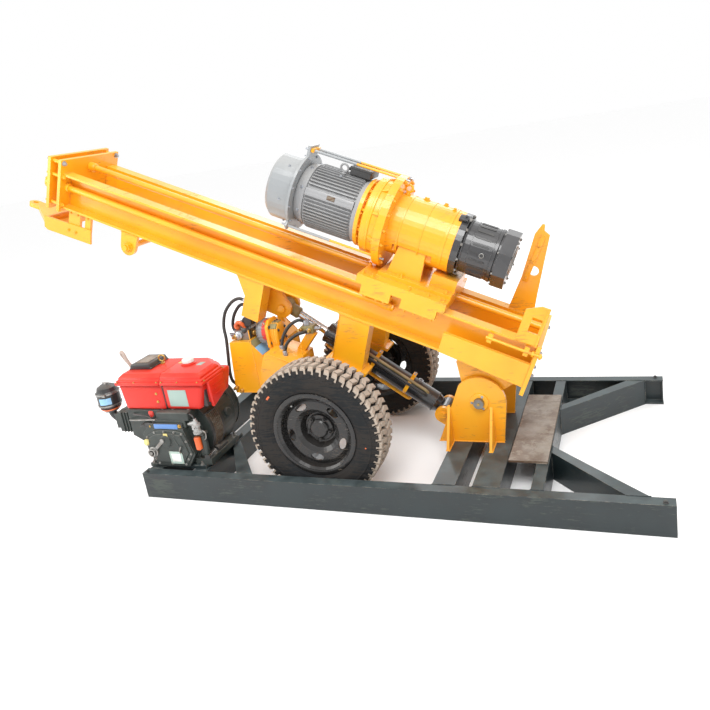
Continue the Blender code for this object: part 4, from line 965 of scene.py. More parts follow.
# %% Keeper, pin and welds of the hinge brackets
bm = bmesh.new()
keeper_bolts = []
bracket_welds = []
for side in (-1, 1):
    out = Vector((0, side, 0))
    outer = side * 0.185
    add_turned(bm, Vector((HINGE.x, outer + side * 0.0004, HINGE.z)), out,
               [(0, 0.0268), (0, 0.048), (0.007, 0.048), (0.009, 0.046), (0.009, 0.0268)], 40)
    keeper_bolts += [(in_plane(HINGE, 0.037, a, outer + side * 0.0094), out, 0.5)
                     for a in (60, 180, 300)]
    foot = RAIL_TOP + 0.0015
    bracket_welds.append([(0.722, outer + side * 0.0015, foot),
                          (1.062, outer + side * 0.0015, foot)])
    for rib_x in (HINGE.x - 0.17, HINGE.x + 0.05):
        for x in (rib_x - 0.0015, rib_x + 0.0155):
            bracket_welds.append([(x, side * 0.298, foot), (x, outer + side * 0.001, foot),
                                  (x, outer + side * 0.001, HINGE.z - 0.03)])
    inner = side * 0.164
    bracket_welds.append([(0.722, inner, foot), (1.062, inner, foot)])
piece("pin_keepers", bm, YELLOW, "chassis")
bolts("pin_keeper_bolts", keeper_bolts, ZINC, "chassis", "yellow_paint")
welds("bracket_welds", bracket_welds, YELLOW, "chassis", "yellow_paint", Bead_radius=0.0034)
bm = bmesh.new()
for side in (-1, 1):
    add_pipe(bm, [(HINGE.x, side * 0.2148, HINGE.z), (HINGE.x, side * 0.22, HINGE.z)], 0.008, 6)
piece("grease_nipples", bm, BRASS, "chassis")
print("hinge:", len(keeper_bolts), "keeper bolts,", len(bracket_welds), "weld lines")

# %% [markdown]
# ## Mast
#
# Two channel beams run between the head plates and the foot plate. The bolts
# that join the head plates show as bright zinc on the near edge. Struts, posts
# and ears are welded under the flanges, and a row of bolts holds each strut's
# flange.

# %% Bolts and spacers of the head plates
head_bolts, painted_bolts, spacer = [], [], bmesh.new()
IN_PLATE, OUT_PLATE = 0.008, -0.086
for side in (-1, 1):
    for t in (0.285, 0.205, 0.04):
        y = side * BEAM_EDGE
        row = head_bolts if t > 0.25 else painted_bolts
        row.append((mast(IN_PLATE + 0.0003, y, t), ALONG, 1.0))
        row.append((mast(OUT_PLATE - 0.0003, y, t), -ALONG, 1.0))
        add_pipe(spacer, [mast(-0.0655, y, t), mast(-0.0125, y, t)], 0.0098, 12)
    y = side * TUBE_Y
    painted_bolts += [(mast(OUT_PLATE - 0.0363, y + 0.028 * cos(w), TUBE_T + 0.028 * sin(w)),
                       -ALONG, 0.55) for w in map(radians, evenly(4, 45))]
piece("head_plate_studs", spacer, YELLOW, "mast")
for name, places, paint in (("head_plate_painted_bolts", painted_bolts, YELLOW),
                            ("head_plate_bolts", head_bolts, ZINC)):
    bolts(name, places, paint, "mast", "yellow_paint", Head_radius=0.0125, Head_height=0.01,
          Washer_radius=0.0155, Thread_radius=0.0075, Thread_height=0.01)
bm = bmesh.new()
for side in (-1, 1):
    add_turned(bm, mast(IN_PLATE + 0.0005, side * TUBE_Y, TUBE_T), ALONG,
               [(0, 0.0172), (0, 0.027), (0.014, 0.027), (0.018, 0.0235), (0.018, 0.0172)], 28)
    add_turned(bm, mast(2.0602, side * TUBE_Y, TUBE_T), ALONG,
               [(0, 0), (0, 0.02), (0.012, 0.02), (0.016, 0.012), (0.016, 0)], 6)
add_turned(bm, mast(IN_PLATE + 0.0005, 0, 0.243), ALONG,
           [(0.034, 0.0183), (0.034, 0.0268), (0.04, 0.025), (0.044, 0.0183)], 28)
piece("tube_collars", bm, YELLOW, "mast")
print("head plates:", len(head_bolts), "bolts")

# %% Hitch: small bolts, and the welds that hold its hangers
hitch_bolts = [(mast(s, side * 0.2161, -0.1), ACROSS * side, 0.8)
               for side in (-1, 1) for s in (0.06, 0.11)]
for side in (-1, 1):
    hitch_bolts += [(mast(s, side * 0.2063, 0.004), ACROSS * side, 0.5)
                    for s in (0.062, 0.112, 0.184)]
bolts("hitch_bolts", hitch_bolts, YELLOW, "mast", "yellow_paint")
hitch_welds = []
for side in (-1, 1):
    for s0, s1 in ((0.047, 0.128), (0.165, 0.203)):
        y = side * 0.2072
        hitch_welds.append([mast(s0, y, BEAM_LOW - 0.002), mast(s1, y, BEAM_LOW - 0.002)])
        hitch_welds.append([mast(s0, side * 0.2035, -0.068), mast(s1, side * 0.2035, -0.064)])
    hitch_welds.append([mast(-0.121, side * 0.2035, -0.106), mast(0.06, side * 0.2035, -0.106)])
welds("hitch_welds", hitch_welds, YELLOW, "mast", "yellow_paint", Bead_radius=0.0028)

# %% Stay lugs: washer, nut and split pin on each end of the bar
bm = bmesh.new()
for side in (-1, 1):
    base, out = mast(0.49, side * 0.2285, -0.06), ACROSS * side
    add_turned(bm, base, out, [(0, 0.0176), (0, 0.031), (0.005, 0.031), (0.005, 0.0176)], 28)
    add_turned(bm, base + out * 0.0056, out,
               [(0, 0.0174), (0, 0.026), (0.015, 0.026), (0.018, 0.0225), (0.018, 0.0174)], 6)
    c = base + out * 0.0275
    add_pipe(bm, [c - SQUARE * 0.024, c + SQUARE * 0.024], 0.0022, 6)
piece("stay_lug_nuts", bm, YELLOW, "mast")

# %% Welds along the mast: lugs, posts, struts, ears and foot
under = BEAM_LOW - 0.0015
mast_welds = []
for side in (-1, 1):
    for s0, s1, y in ((0.435, 0.545, 0.2295), (0.435, 0.545, 0.2045), (1.189, 1.358, 0.2185),
                      (1.189, 1.358, 0.1185), (1.812, 1.985, 0.2262), (1.812, 1.985, 0.1385)):
        mast_welds.append([mast(s0, side * y, under), mast(s1, side * y, under)])
    for s, y0, y1 in ((1.8095, 0.14, 0.225), (1.987, 0.14, 0.225),
                      (1.1875, 0.12, 0.217), (1.36, 0.12, 0.217)):
        mast_welds.append([mast(s, side * y0, under), mast(s, side * y1, under)])
    y = side * (BEAM_EDGE + 0.0008)
    mast_welds.append([mast(2.362, y, 0.131), mast(2.796, y, 0.131)])
    y, top, foot, head_s = side * 0.226, BEAM_TOP + 0.001, MAST_LENGTH - 0.001, 0.009
    mast_welds.append([mast(foot, y, 0.135), mast(foot, y, top), mast(foot, side * 0.152, top)])
    mast_welds.append([mast(head_s, y, BEAM_LOW), mast(head_s, side * 0.161, BEAM_LOW + 0.013),
                       mast(head_s, side * 0.161, BEAM_TOP - 0.013), mast(head_s, y, BEAM_TOP),
                       mast(head_s, side * 0.15, top)])
    mast_welds.append([mast(1.815, side * 0.2264, 0.018), mast(1.835, side * 0.2264, -0.244)])
for s0, s1, y in ((2.69, 2.796, -0.234), (2.6, 2.728, 0.165), (2.6, 2.728, 0.183)):
    mast_welds.append([mast(s0, y, BEAM_TOP + 0.0015), mast(s1, y, BEAM_TOP + 0.0015)])
welds("mast_welds", mast_welds, YELLOW, "mast", "yellow_paint", Bead_radius=0.003)
print("mast:", len(mast_welds), "weld lines")

# %% Strut flanges: a row of bolts along each side, and a wear strip on the guide plate
strut_bolts = []
for side in (-1, 1):
    for y in (0.2355, 0.1345):
        strut_bolts += [(mast(1.818 + 0.0485 * k, side * y, -0.244), SQUARE, 0.62)
                        for k in range(5) if y > 0.2 or k in (0, 4)]
        strut_bolts += [(mast(1.818 + 0.0485 * k, side * y, -0.2632), -SQUARE, 0.62)
                        for k in range(5) if y > 0.2]
bolts("strut_bolts", strut_bolts, YELLOW, "mast", "yellow_paint", Thread_height=0.008)
bm = bmesh.new()
add_prism(bm, [mast(2.612, 0.166, 0.39), mast(2.64, 0.166, 0.39),
               mast(2.65, 0.166, 0.636), mast(2.628, 0.166, 0.648)][::-1], ACROSS * -0.0065,
          0.0015)
piece("guide_wear_strip", bm, YELLOW, "mast")
bolts("guide_bolts", [(mast(2.626 + 0.03 * (t - 0.4), 0.1592, t), -ACROSS, 0.6)
                      for t in (0.41, 0.5, 0.59)], YELLOW, "mast", "yellow_paint")
print("struts:", len(strut_bolts), "bolts")

# %% Foot: the long adjusting rod with its nuts over the near beam
bm = bmesh.new()
ROD_Y, ROD_T = -0.2475, 0.19
add_pipe(bm, [mast(2.56, ROD_Y, ROD_T), mast(2.838, ROD_Y, ROD_T)], 0.0075, 12)
for s in (2.786, 2.8215):
    add_turned(bm, mast(s, ROD_Y, ROD_T), ALONG,
               [(0, 0.0076), (0, 0.015), (0.012, 0.015), (0.012, 0.0076)], 6)
piece("foot_rod", bm, YELLOW, "mast")
bm = bmesh.new()
for s in (2.58, 2.76):
    add_box(bm, mast(s, -0.245, ROD_T), (0.012, 0.0045, 0.024), MAST_AXES, 0.0015)
piece("foot_rod_lugs", bm, YELLOW, "mast")
foot_bolts = [(mast(MAST_LENGTH + 0.0203, side * y, t), ALONG, 1.0)
              for side in (-1, 1) for y, t in ((0.19, 0.06), (0.19, 0.185), (0.08, 0.06))]
bolts("foot_bolts", foot_bolts, ZINC, "mast", "yellow_paint", Thread_radius=0.006)
print("foot:", len(foot_bolts), "bolts")

# %% [markdown]
# ## Power head
#
# The head slides on the beams: a carriage with bolted clamps, an electric motor
# with a fan cowl, a yellow gear case with a wide bolted ring, and a black chuck
# that takes the drill rods. Fins, fan slots and bolt circles all repeat round
# one axis, which is exactly what the ring tree does.

# %% Motor: a smooth core, a ring of thin fins and two end shields
MOTOR_RADIUS, FIN_COUNT = 0.172, 56
PAD_FROM, PAD_TO = -79.0, -65.0             # flat pad on the near side, degrees


def add_fin(bm, p0, p1, foot, tip, half):
    """Thin fin along the axis with chamfered ends, at the top of a head centred on the origin."""
    outline = [(p0, foot), (p0 + 0.01, tip), (p1 - 0.01, tip), (p1, foot)]
    corners = [ALONG * p + SQUARE * r - ACROSS * half for p, r in outline]
    add_prism(bm, corners, ACROSS * (2 * half))


bm = bmesh.new()
add_turned(bm, HEAD_CENTRE, ALONG,
           [(-1.1442, 0), (-1.1442, 0.15), (-1.13, 0.158), (-1.1, 0.164), (-1.09, 0.164),
            (-1.088, 0.156), (-0.816, 0.156), (-0.814, 0.166), (-0.796, 0.17),
            (-0.7905, 0.17), (-0.7905, 0)], 96)
pad_turns = [PAD_FROM + (PAD_TO - PAD_FROM) * k / 4 for k in range(5)]
add_prism(bm, [head(-1.085, 0.1715, a) for a in pad_turns]
          + [head(-1.085, 0.15, a) for a in (PAD_TO, PAD_FROM)], ALONG * 0.268, 0.0015)
motor = piece("motor_core", bm, MOTOR_GREY, "power_head")
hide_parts("motor")
bm = bmesh.new()
add_fin(bm, -1.088, -0.816, 0.1545, MOTOR_RADIUS, 0.0019)
fins = round_axis("motor_fins", bm, HEAD_CENTRE, ALONG, FIN_COUNT, MOTOR_GREY, "power_head")
print("motor fins:", len(fins.data.polygons), "faces")

# %% Motor: name plate left blank, lifting eye, end-shield bolts
bm = bmesh.new()
pad_middle = (PAD_FROM + PAD_TO) / 2
add_box(bm, head(-0.94, 0.1722, pad_middle), (0.022, 0.011, 0.001), head_axes(pad_middle),
        0.0004)
piece("motor_plate", bm, RUSTED, "power_head")


def lifting_eye(bm, foot, out, ring=0.02, wire=0.0055):
    """Collar, shank and ring of a forged lifting eye; the ring stands along the mast."""
    add_turned(bm, foot, out, [(0, 0), (0, wire * 2.6), (0.005, wire * 2.6), (0.009, wire * 1.3),
                               (0.016, wire * 1.1), (0.016, 0)], 20)
    centre = foot + out * (0.012 + ring)
    path = [centre + ALONG * (ring * sin(a)) - out * (ring * cos(a))
            for a in (2 * pi * k / 28 for k in range(29))]
    add_pipe(bm, path, wire, 10)


bm = bmesh.new()
lifting_eye(bm, head(-0.945, 0.1705, -13), radial(-13))
piece("motor_eye", bm, MOTOR_GREY, "power_head")
shield = [(head(-1.112, 0.1615, a), radial(a) - ALONG * 0.25, 0.62) for a in evenly(8, 22.5)]
shield += [(head(-0.945, 0.1722, a), radial(a), 0.6) for a in (-25, -1)]
bolts("motor_bolts", shield, ZINC, "power_head", "grey_paint", Head_height=0.007)

# %% Terminal box: a lid with screws and two cable glands
lo_s, hi_s = HEAD_END - 0.915, HEAD_END - 0.796
lo_y, hi_y, top = -0.05, 0.09, AXIS_T + 0.218
bm = bmesh.new()
add_box(bm, mast((lo_s + hi_s) / 2, (lo_y + hi_y) / 2, top - 0.0225),
        ((hi_s - lo_s) / 2 - 0.003, (hi_y - lo_y) / 2 - 0.003, 0.0215), MAST_AXES, 0.004, 3)
add_box(bm, mast((lo_s + hi_s) / 2, (lo_y + hi_y) / 2, top - 0.0065),
        ((hi_s - lo_s) / 2, (hi_y - lo_y) / 2, 0.0055), MAST_AXES, 0.002)
for y in (0.0, 0.045):
    add_turned(bm, mast(lo_s + 0.002, y, top - 0.026), -ALONG,
               [(0, 0), (0, 0.012), (0.01, 0.012), (0.01, 0.009), (0.02, 0.009), (0.022, 0.006),
                (0.022, 0)], 16)
box = piece("terminal_box_cast", bm, SATIN_BLACK_AND_SHADE, "power_head")
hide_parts("terminal_box")
lid = [(mast(s, y, top - 0.0008), SQUARE, 0.42) for s in (lo_s + 0.012, hi_s - 0.012)
       for y in (lo_y + 0.012, hi_y - 0.012)]
bolts("terminal_box_screws", lid, ZINC, "power_head", "engine_iron")

# %% Fan cowl: rolled edge, screws, and the slotted end with its slots as painted shade
# Painted shade: each slot is a thin dark strip laid on the cowl's end, standing for the dark seen
# through the opening.
bm = bmesh.new()
slot_in, slot_out = 0.045, 0.128
outline = [(slot_in, 0.003), (slot_out, 0.005), (slot_out, -0.005), (slot_in, -0.003)]
add_prism(bm, [SQUARE * r + ACROSS * y for r, y in outline], ALONG * -0.0012)
round_axis("cowl_slot_shade", bm, HEAD_CENTRE - ALONG * 1.3095, ALONG, 28, SATIN_BLACK_AND_SHADE, "power_head")
bm = bmesh.new()
for profile, sides in (
        ([(-1.3104, 0.133), (-1.3104, 0.1385), (-1.3128, 0.137), (-1.3128, 0.1345)], 64),
        ([(-1.3104, 0), (-1.3104, 0.038), (-1.3135, 0.034), (-1.3135, 0)], 40),
        ([(-1.1775, 0.1785), (-1.1775, 0.1812), (-1.17, 0.1812), (-1.17, 0.1785)], 72)):
    add_turned(bm, HEAD_CENTRE, ALONG, profile, sides)
piece("cowl_rolls", bm, COWL_GREY, "power_head")
cowl_screws = [(head(-1.215, 0.1782, a), radial(a), 0.5) for a in evenly(6, -100)]
cowl_screws += [(head(-1.1448, 0.192, a), ALONG, 0.55) for a in evenly(12, 15)]
bolts("cowl_screws", cowl_screws, ZINC, "power_head", "grey_paint")

# %% Tie rods: two above are CAD solids; two more run low down, each in its own ears
TIE_RADIUS, TIE_TURNS = 0.219, (-137, 137)      # the two rods below
TOP_ROD_Y, TOP_ROD_T = (-0.032, 0.032), AXIS_T + 0.23
rods, ears, sleeves, nuts = bmesh.new(), bmesh.new(), bmesh.new(), []
for a in TIE_TURNS:
    add_pipe(rods, [head(-1.16, TIE_RADIUS, a), head(-0.6605, TIE_RADIUS, a)], 0.0062, 12)
    add_box(ears, head(-1.1525, 0.215, a), (0.0073, 0.02, 0.019), head_axes(a), 0.003)
    nuts.append((head(-1.1602, TIE_RADIUS, a), -ALONG, 0.75))
    nuts.append((head(-0.619, TIE_RADIUS, a), ALONG, 0.75))
for y in TOP_ROD_Y:
    nuts.append((mast(HEAD_END - 1.1602, y, TOP_ROD_T), -ALONG, 0.7))
    nuts.append((mast(HEAD_END - 0.6195, y, TOP_ROD_T), ALONG, 0.7))
    add_pipe(sleeves, [mast(HEAD_END - p, y, TOP_ROD_T) for p in (1.128, 0.89)], 0.0072, 16)
for a in TIE_TURNS:
    add_pipe(sleeves, [head(p, TIE_RADIUS, a) for p in (-1.144, -0.9)], 0.0069, 16)
piece("lower_tie_rods", rods, YELLOW, "power_head")
piece("grey_rod_paint", sleeves, COWL_GREY, "power_head")
piece("lower_rod_ears", ears, COWL_GREY, "power_head")
bolts("tie_rod_nuts", nuts, ZINC, "power_head", "engine_iron", Thread_radius=0.008,
      Thread_height=0.022)

# %% Gear case: bolt circles, stepped bands and the plugs on its top
ring_bolts = []
for a in evenly(18, 10):
    from_top = abs((a + 180) % 360 - 180)
    if from_top < 165 and not 130 < from_top < 145:      # the lower rods take two places
        ring_bolts.append((head(-0.6197, 0.222, a), ALONG, 0.85))
        ring_bolts.append((head(-0.6603, 0.228, a), -ALONG, 0.7))
ring_bolts += [(head(-0.7702, 0.169, a), ALONG, 0.55) for a in evenly(16, 11.25)]
bolts("gear_case_bolts", ring_bolts, YELLOW, "power_head", "yellow_paint", Thread_radius=0.006,
      Thread_height=0.007)
bm = bmesh.new()


def add_band(bm, p, half, inner, outer, turn_from, turn_to, steps=64):
    """Raised band part of the way round the drilling axis, closed at both ends."""
    loops = []
    for k in range(steps + 1):
        a = turn_from + (turn_to - turn_from) * k / steps
        loops.append([bm.verts.new(head(p + q, r, a)) for q, r in
                      ((-half, inner), (half, inner), (half, outer), (-half, outer))])
    add_skin(bm, loops)
    bm.faces.new(loops[0])
    bm.faces.new(loops[-1])


for p, wide in ((-0.56, 0.012), (-0.445, 0.006), (-0.33, 0.016)):
    add_band(bm, p, wide / 2, 0.156, 0.1592, -134, 134)
add_turned(bm, HEAD_CENTRE, ALONG, [(-0.75, 0.15), (-0.75, 0.194), (-0.744, 0.201),
                                    (-0.718, 0.201), (-0.715, 0.205), (-0.704, 0.205),
                                    (-0.701, 0.201), (-0.68, 0.201), (-0.677, 0.205),
                                    (-0.66, 0.205), (-0.66, 0.15)], 96)
piece("gear_case_bands", bm, YELLOW, "power_head")
bm = bmesh.new()
lifting_eye(bm, head(-0.6, 0.157, 0), SQUARE, ring=0.018, wire=0.006)
for p, a, r in ((-0.5, 4, 0.013), (-0.4, 10, 0.01), (-0.345, -6, 0.008)):
    add_turned(bm, head(p, 0.156, a), radial(a),
               [(0, 0), (0, r * 1.5), (0.005, r * 1.5), (0.005, r), (0.014, r), (0.014, 0)], 6)
piece("gear_case_plugs", bm, YELLOW, "power_head")
print("gear case:", len(ring_bolts), "bolts")

# %% Chuck: rings, lug, grooves, key holes, bolts and the bright seat
LUG_TURN = -28                       # the lug stays on the power head beside the turning chuck
bm = bmesh.new()
for profile in ([(-0.2475, 0.1325), (-0.2475, 0.14), (-0.243, 0.1425), (-0.238, 0.14),
                 (-0.238, 0.1325)],
                [(-0.21, 0.1322), (-0.21, 0.134), (-0.206, 0.134), (-0.206, 0.1322)],
                [(-0.1, 0.1322), (-0.1, 0.134), (-0.096, 0.134), (-0.096, 0.1322)],
                [(-0.09, 0.1322), (-0.09, 0.1365), (-0.078, 0.1365), (-0.074, 0.1322)]):
    add_turned(bm, HEAD_CENTRE, ALONG, profile, 64)
piece("chuck_rings", bm, CHUCK_BLACK, "spindle")
bm = bmesh.new()
add_box(bm, head(-0.278, 0.168, LUG_TURN), (0.0225, 0.017, 0.0095), head_axes(LUG_TURN), 0.003)
add_box(bm, head(-0.2945, 0.16, LUG_TURN), (0.008, 0.017, 0.011), head_axes(LUG_TURN), 0.002)
add_pipe(bm, [head(-0.27, r, LUG_TURN) for r in (0.176, 0.188)], 0.0055, 12)
piece("index_lug", bm, CHUCK_BLACK, "power_head")
bm = bmesh.new()
add_prism(bm, [SQUARE * 0.1318 + ACROSS * y + ALONG * p for p, y in
               ((-0.195, -0.0045), (-0.12, -0.0045), (-0.116, 0), (-0.12, 0.0045),
                (-0.195, 0.0045), (-0.199, 0))], SQUARE * 0.0022)
round_axis("chuck_grooves", bm, HEAD_CENTRE, ALONG, 22, SATIN_BLACK_AND_SHADE, "spindle")
holes, rims = bmesh.new(), bmesh.new()
for a in evenly(3, -84):
    add_turned(rims, head(-0.14, 0.129, a), radial(a),
               [(0, 0.009), (0, 0.0125), (0.0052, 0.0125), (0.006, 0.01), (0.0052, 0.009)],
               24)
    add_turned(holes, head(-0.14, 0.127, a), radial(a),
               [(0, 0), (0, 0.0088), (0.0062, 0.0088), (0.0062, 0)], 20)
piece("chuck_key_rims", rims, STEEL, "spindle")
piece("chuck_key_holes", holes, SATIN_BLACK_AND_SHADE, "spindle")
chuck_bolts = [(head(-0.2498, 0.1465, a), ALONG, 0.75) for a in evenly(12, 15)]
chuck_bolts += [(head(-0.0662, 0.1405, a), -ALONG, 0.55) for a in evenly(8, 22.5)]
chuck_bolts += [(head(0.0002, 0.113, a), ALONG, 0.6) for a in evenly(8, 22.5)]
chuck_bolts.append((head(-0.25, 0.1695, LUG_TURN), ALONG, 0.8))
bolts("chuck_bolts", chuck_bolts, STEEL, "spindle", "black_paint", Head_height=0.009,
      Thread_height=0.004)
bm = bmesh.new()
add_turned(bm, HEAD_CENTRE, ALONG,
           [(0.0002, 0.0505), (0.0002, 0.08), (0.004, 0.078), (0.004, 0.0525)], 48)
add_turned(bm, HEAD_CENTRE, ALONG, [(-0.144, 0), (-0.144, 0.049), (-0.14, 0.049),
                                    (-0.14, 0.026), (-0.125, 0.022), (-0.125, 0)], 40)
piece("chuck_seat", bm, STEEL, "spindle")
print("chuck:", len(chuck_bolts), "bolts")

# %% Carriage: clamp bolts, deck bolts and welds
clamp = []
low = BEAM_TOP + 0.0005
for side in (-1, 1):
    for s in (1.925, 1.985, 2.025, 2.14, 2.19, 2.24, 2.28):
        clamp.append((mast(s, side * 0.241, low - 0.0503), -SQUARE, 0.72))
    for s in (1.88, 1.93, 2.13, 2.23, 2.31):
        clamp.append((mast(s, side * 0.215, AXIS_T - 0.24), SQUARE, 0.8))
    for s in (2.06, 2.3):
        clamp.append((mast(s, side * 0.152, AXIS_T - 0.218), SQUARE, 0.9))
    clamp.append((mast(1.8705, side * 0.085, AXIS_T - 0.24), SQUARE, 1.0))
bolts("carriage_bolts", clamp, YELLOW, "power_head", "yellow_paint", Thread_radius=0.006,
      Thread_height=0.01)
carriage_welds = []
deck = AXIS_T - 0.217
for side in (-1, 1):
    for y in (0.109, 0.1335):
        carriage_welds.append([mast(1.975, side * y, deck), mast(2.155, side * y, deck)])
    carriage_welds.append([mast(1.941, side * 0.176, AXIS_T - 0.2395),
                           mast(2.333, side * 0.176, AXIS_T - 0.2395)])
    carriage_welds.append([mast(2.2, side * 0.111, deck), mast(2.333, side * 0.111, deck)])
    carriage_welds.append([mast(2.002, side * 0.1335, AXIS_T - 0.073),
                           mast(2.143, side * 0.1335, AXIS_T - 0.073)])
welds("carriage_welds", carriage_welds, YELLOW, "power_head", "yellow_paint", Bead_radius=0.003)
print("carriage:", len(clamp), "bolts")

# %% [markdown]
# ## Diesel engine: the red hopper
#
# A small single-cylinder diesel is mostly its hopper: a pressed steel tank with
# a rolled rim all round, a bevelled top and soft corners. The CAD solid has
# sharp corners, so it is replaced by the same shape with rounded ones, made in
# two halves with a seam between them, as the real tank is.

# %% Hopper: two lower panels, two rims, two tops, the side shroud and painted shade
HOPPER_X, HOPPER_Y, HOPPER_Z = (-0.995, -0.405), (-0.58, -0.264), (0.487, 0.694)
SEAM_X, RIM_Z = -0.69, 0.635


def hopper_half(bm, x0, x1, left):
    """One half of the tank; left says which end is the outer one."""
    slant_low = 0.03 if left else 0.055
    low0 = x0 + slant_low if left else x0
    low1 = x1 if left else x1 - slant_low
    high0 = x0 + 0.012 if left else x0
    high1 = x1 if left else x1 - 0.013
    step = 0.0 if left else 0.004
    near, far = HOPPER_Y[0] + 0.018 - step, HOPPER_Y[1]
    z0, z1 = HOPPER_Z[0], RIM_Z + 0.004
    add_prism(bm, [(low0, near, z0), (low1, near, z0), (high1, near, z1), (high0, near, z1)],
              (0, far - near, 0), 0.013 if left else 0.024, 5)
    plan = [(x0, HOPPER_Y[0]), (x1, HOPPER_Y[0]), (x1, far - 0.004), (x0, far - 0.004)]
    if not left:
        plan[2:3] = [(x1, far - 0.094), (x1 - 0.09, far - 0.004)]
    add_prism(bm, [(x, y, RIM_Z) for x, y in plan], (0, 0, 0.018), 0.0065, 3)
    rings = []
    for z, inset in ((RIM_Z + 0.012, 0.008), (RIM_Z + 0.027, 0.01), (RIM_Z + 0.031, 0.019),
                     (RIM_Z + 0.041, 0.021), (HOPPER_Z[1], 0.042)):
        a, b = (x0 + inset, x1) if left else (x0, x1 - inset)
        ya, yb = HOPPER_Y[0] + inset, HOPPER_Y[1] - inset
        corner = [(a, ya), (b, ya), (b, yb), (a, yb)]
        if not left:
            corner = [(a, ya), (b, ya), (b, yb - 0.09), (b - 0.09, yb), (a, yb)]
        rings.append([bm.verts.new((x, y, z)) for x, y in corner])
    soften(bm, add_skin(bm, rings) + [bm.faces.new(rings[0][::-1]), bm.faces.new(rings[-1])],
           0.0035, 3)


bm = bmesh.new()
hopper_half(bm, HOPPER_X[0], SEAM_X - 0.0012, True)
hopper_half(bm, SEAM_X + 0.0012, HOPPER_X[1], False)
side_x, rim = HOPPER_X[1] - 0.018, RIM_Z + 0.003
shroud = [(side_x, HOPPER_Y[0] + 0.052, rim), (side_x, HOPPER_Y[1] - 0.112, rim),
          (side_x, HOPPER_Y[1] - 0.112, HOPPER_Z[0] + 0.047),
          (side_x, HOPPER_Y[0] + 0.062, HOPPER_Z[0] + 0.002)]
add_prism(bm, shroud, (0.021, 0, 0), 0.006, 3)
add_prism(bm, [(side_x - 0.03, HOPPER_Y[0] + 0.062, HOPPER_Z[0] + 0.03),
               (side_x - 0.03, HOPPER_Y[1] - 0.118, HOPPER_Z[0] + 0.06),
               (side_x - 0.03, HOPPER_Y[1] - 0.118, rim),
               (side_x - 0.03, HOPPER_Y[0] + 0.062, rim)], (0.034, 0, 0), 0.002)
hopper = piece("hopper_tank", bm, HOPPER_RED, "chassis")
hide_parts("engine_cover")
# Painted shade: a black plate sits in the gap of the seam and a black block under the slanted
# right end, so the groove and the recess read dark.
bm = bmesh.new()
add_box(bm, (SEAM_X, (HOPPER_Y[0] + HOPPER_Y[1]) / 2 + 0.004, 0.585), (0.004, 0.138, 0.09),
        bevel=0.001)
add_prism(bm, [(-0.473, HOPPER_Y[0] + 0.04, 0.5), (-0.43, HOPPER_Y[0] + 0.04, 0.5),
               (-0.43, HOPPER_Y[0] + 0.04, RIM_Z + 0.002),
               (-0.473, HOPPER_Y[0] + 0.04, RIM_Z + 0.002)], (0, 0.15, 0), 0.002)
piece("hopper_painted_shade", bm, SATIN_BLACK_AND_SHADE, "chassis")
print("hopper faces:", len(hopper.data.polygons))

# %% Hopper: raised lines on the shroud, rim bolts, blank plate
bm = bmesh.new()
x = side_x + 0.0212
for ya, yb, z in ((-0.505, -0.398, 0.607), (-0.512, -0.4, 0.58), (-0.492, -0.42, 0.552)):
    add_prism(bm, [(x, ya, z - 0.003), (x, yb, z - 0.003), (x, yb, z + 0.003), (x, ya, z + 0.003)],
              (0.0022, 0, 0), 0.0008)
z = RIM_Z - 0.016
for x0, x1, out in ((-0.975, SEAM_X - 0.012, -0.003), (SEAM_X + 0.012, -0.44, -0.004)):
    add_prism(bm, [(x, HOPPER_Y[0] + 0.016, z) for x in (x0, x1)]
              + [(x, HOPPER_Y[0] + 0.016, z + 0.005) for x in (x1, x0)], (0, out, 0), 0.001)
piece("hopper_ridges", bm, HOPPER_RED, "chassis")
rim_bolts = [(Vector((xx, HOPPER_Y[0] + 0.0062, RIM_Z + 0.0182)), (0, 0, 1), 0.42)
             for xx in (-0.975, -0.86, SEAM_X - 0.016, SEAM_X + 0.016, -0.57, -0.44)]
rim_bolts += [(Vector((HOPPER_X[1] - 0.008, yy, RIM_Z + 0.0182)), (0, 0, 1), 0.5)
              for yy in (-0.548, -0.36)]
rim_bolts += [(Vector((-0.7345, HOPPER_Y[0] + 0.0178, zz)), (0, -1, 0), 0.55)
              for zz in (0.583, 0.536)]
bolts("hopper_bolts", rim_bolts, BRASS, "chassis", "red_paint", Head_height=0.007)
bm = bmesh.new()
add_box(bm, (-0.5925, HOPPER_Y[0] + 0.0132, 0.559), (0.06, 0.0009, 0.048), bevel=0.0005)
piece("hopper_blank_plate", bm, LABEL_PALE, "chassis")
rivets = [(Vector((-0.5925 + dx, HOPPER_Y[0] + 0.0122, 0.559 + dz)), (0, -1, 0), 0.16)
          for dx in (-0.054, 0.054) for dz in (-0.042, 0.042)]
bolts("hopper_plate_rivets", rivets, ALLOY, "chassis", "red_paint")

# %% Hopper: radiator lid, fuel cap, lifting ring and the bent pale handle
lo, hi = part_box("engine_lid")
bm = bmesh.new()
add_prism(bm, [(lo.x, lo.y, lo.z + 0.0002), (hi.x, lo.y, lo.z + 0.0002),
               (hi.x - 0.015, lo.y, hi.z - 0.002), (lo.x + 0.015, lo.y, hi.z - 0.002)],
          (0, hi.y - lo.y, 0), 0.006, 3)
add_box(bm, ((lo.x + hi.x) / 2, (lo.y + hi.y) / 2, lo.z + 0.003),
        ((hi.x - lo.x) / 2, (hi.y - lo.y) / 2, 0.003), bevel=0.0015)
lid = piece("radiator_lid", bm, SATIN_BLACK_AND_SHADE, "chassis")
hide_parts("engine_lid")
bm = bmesh.new()
add_box(bm, ((lo.x + hi.x) / 2, (lo.y + hi.y) / 2, hi.z - 0.0015), (0.043, 0.06, 0.0022),
        bevel=0.0015)
piece("radiator_lid_panel", bm, RUSTED, "chassis")
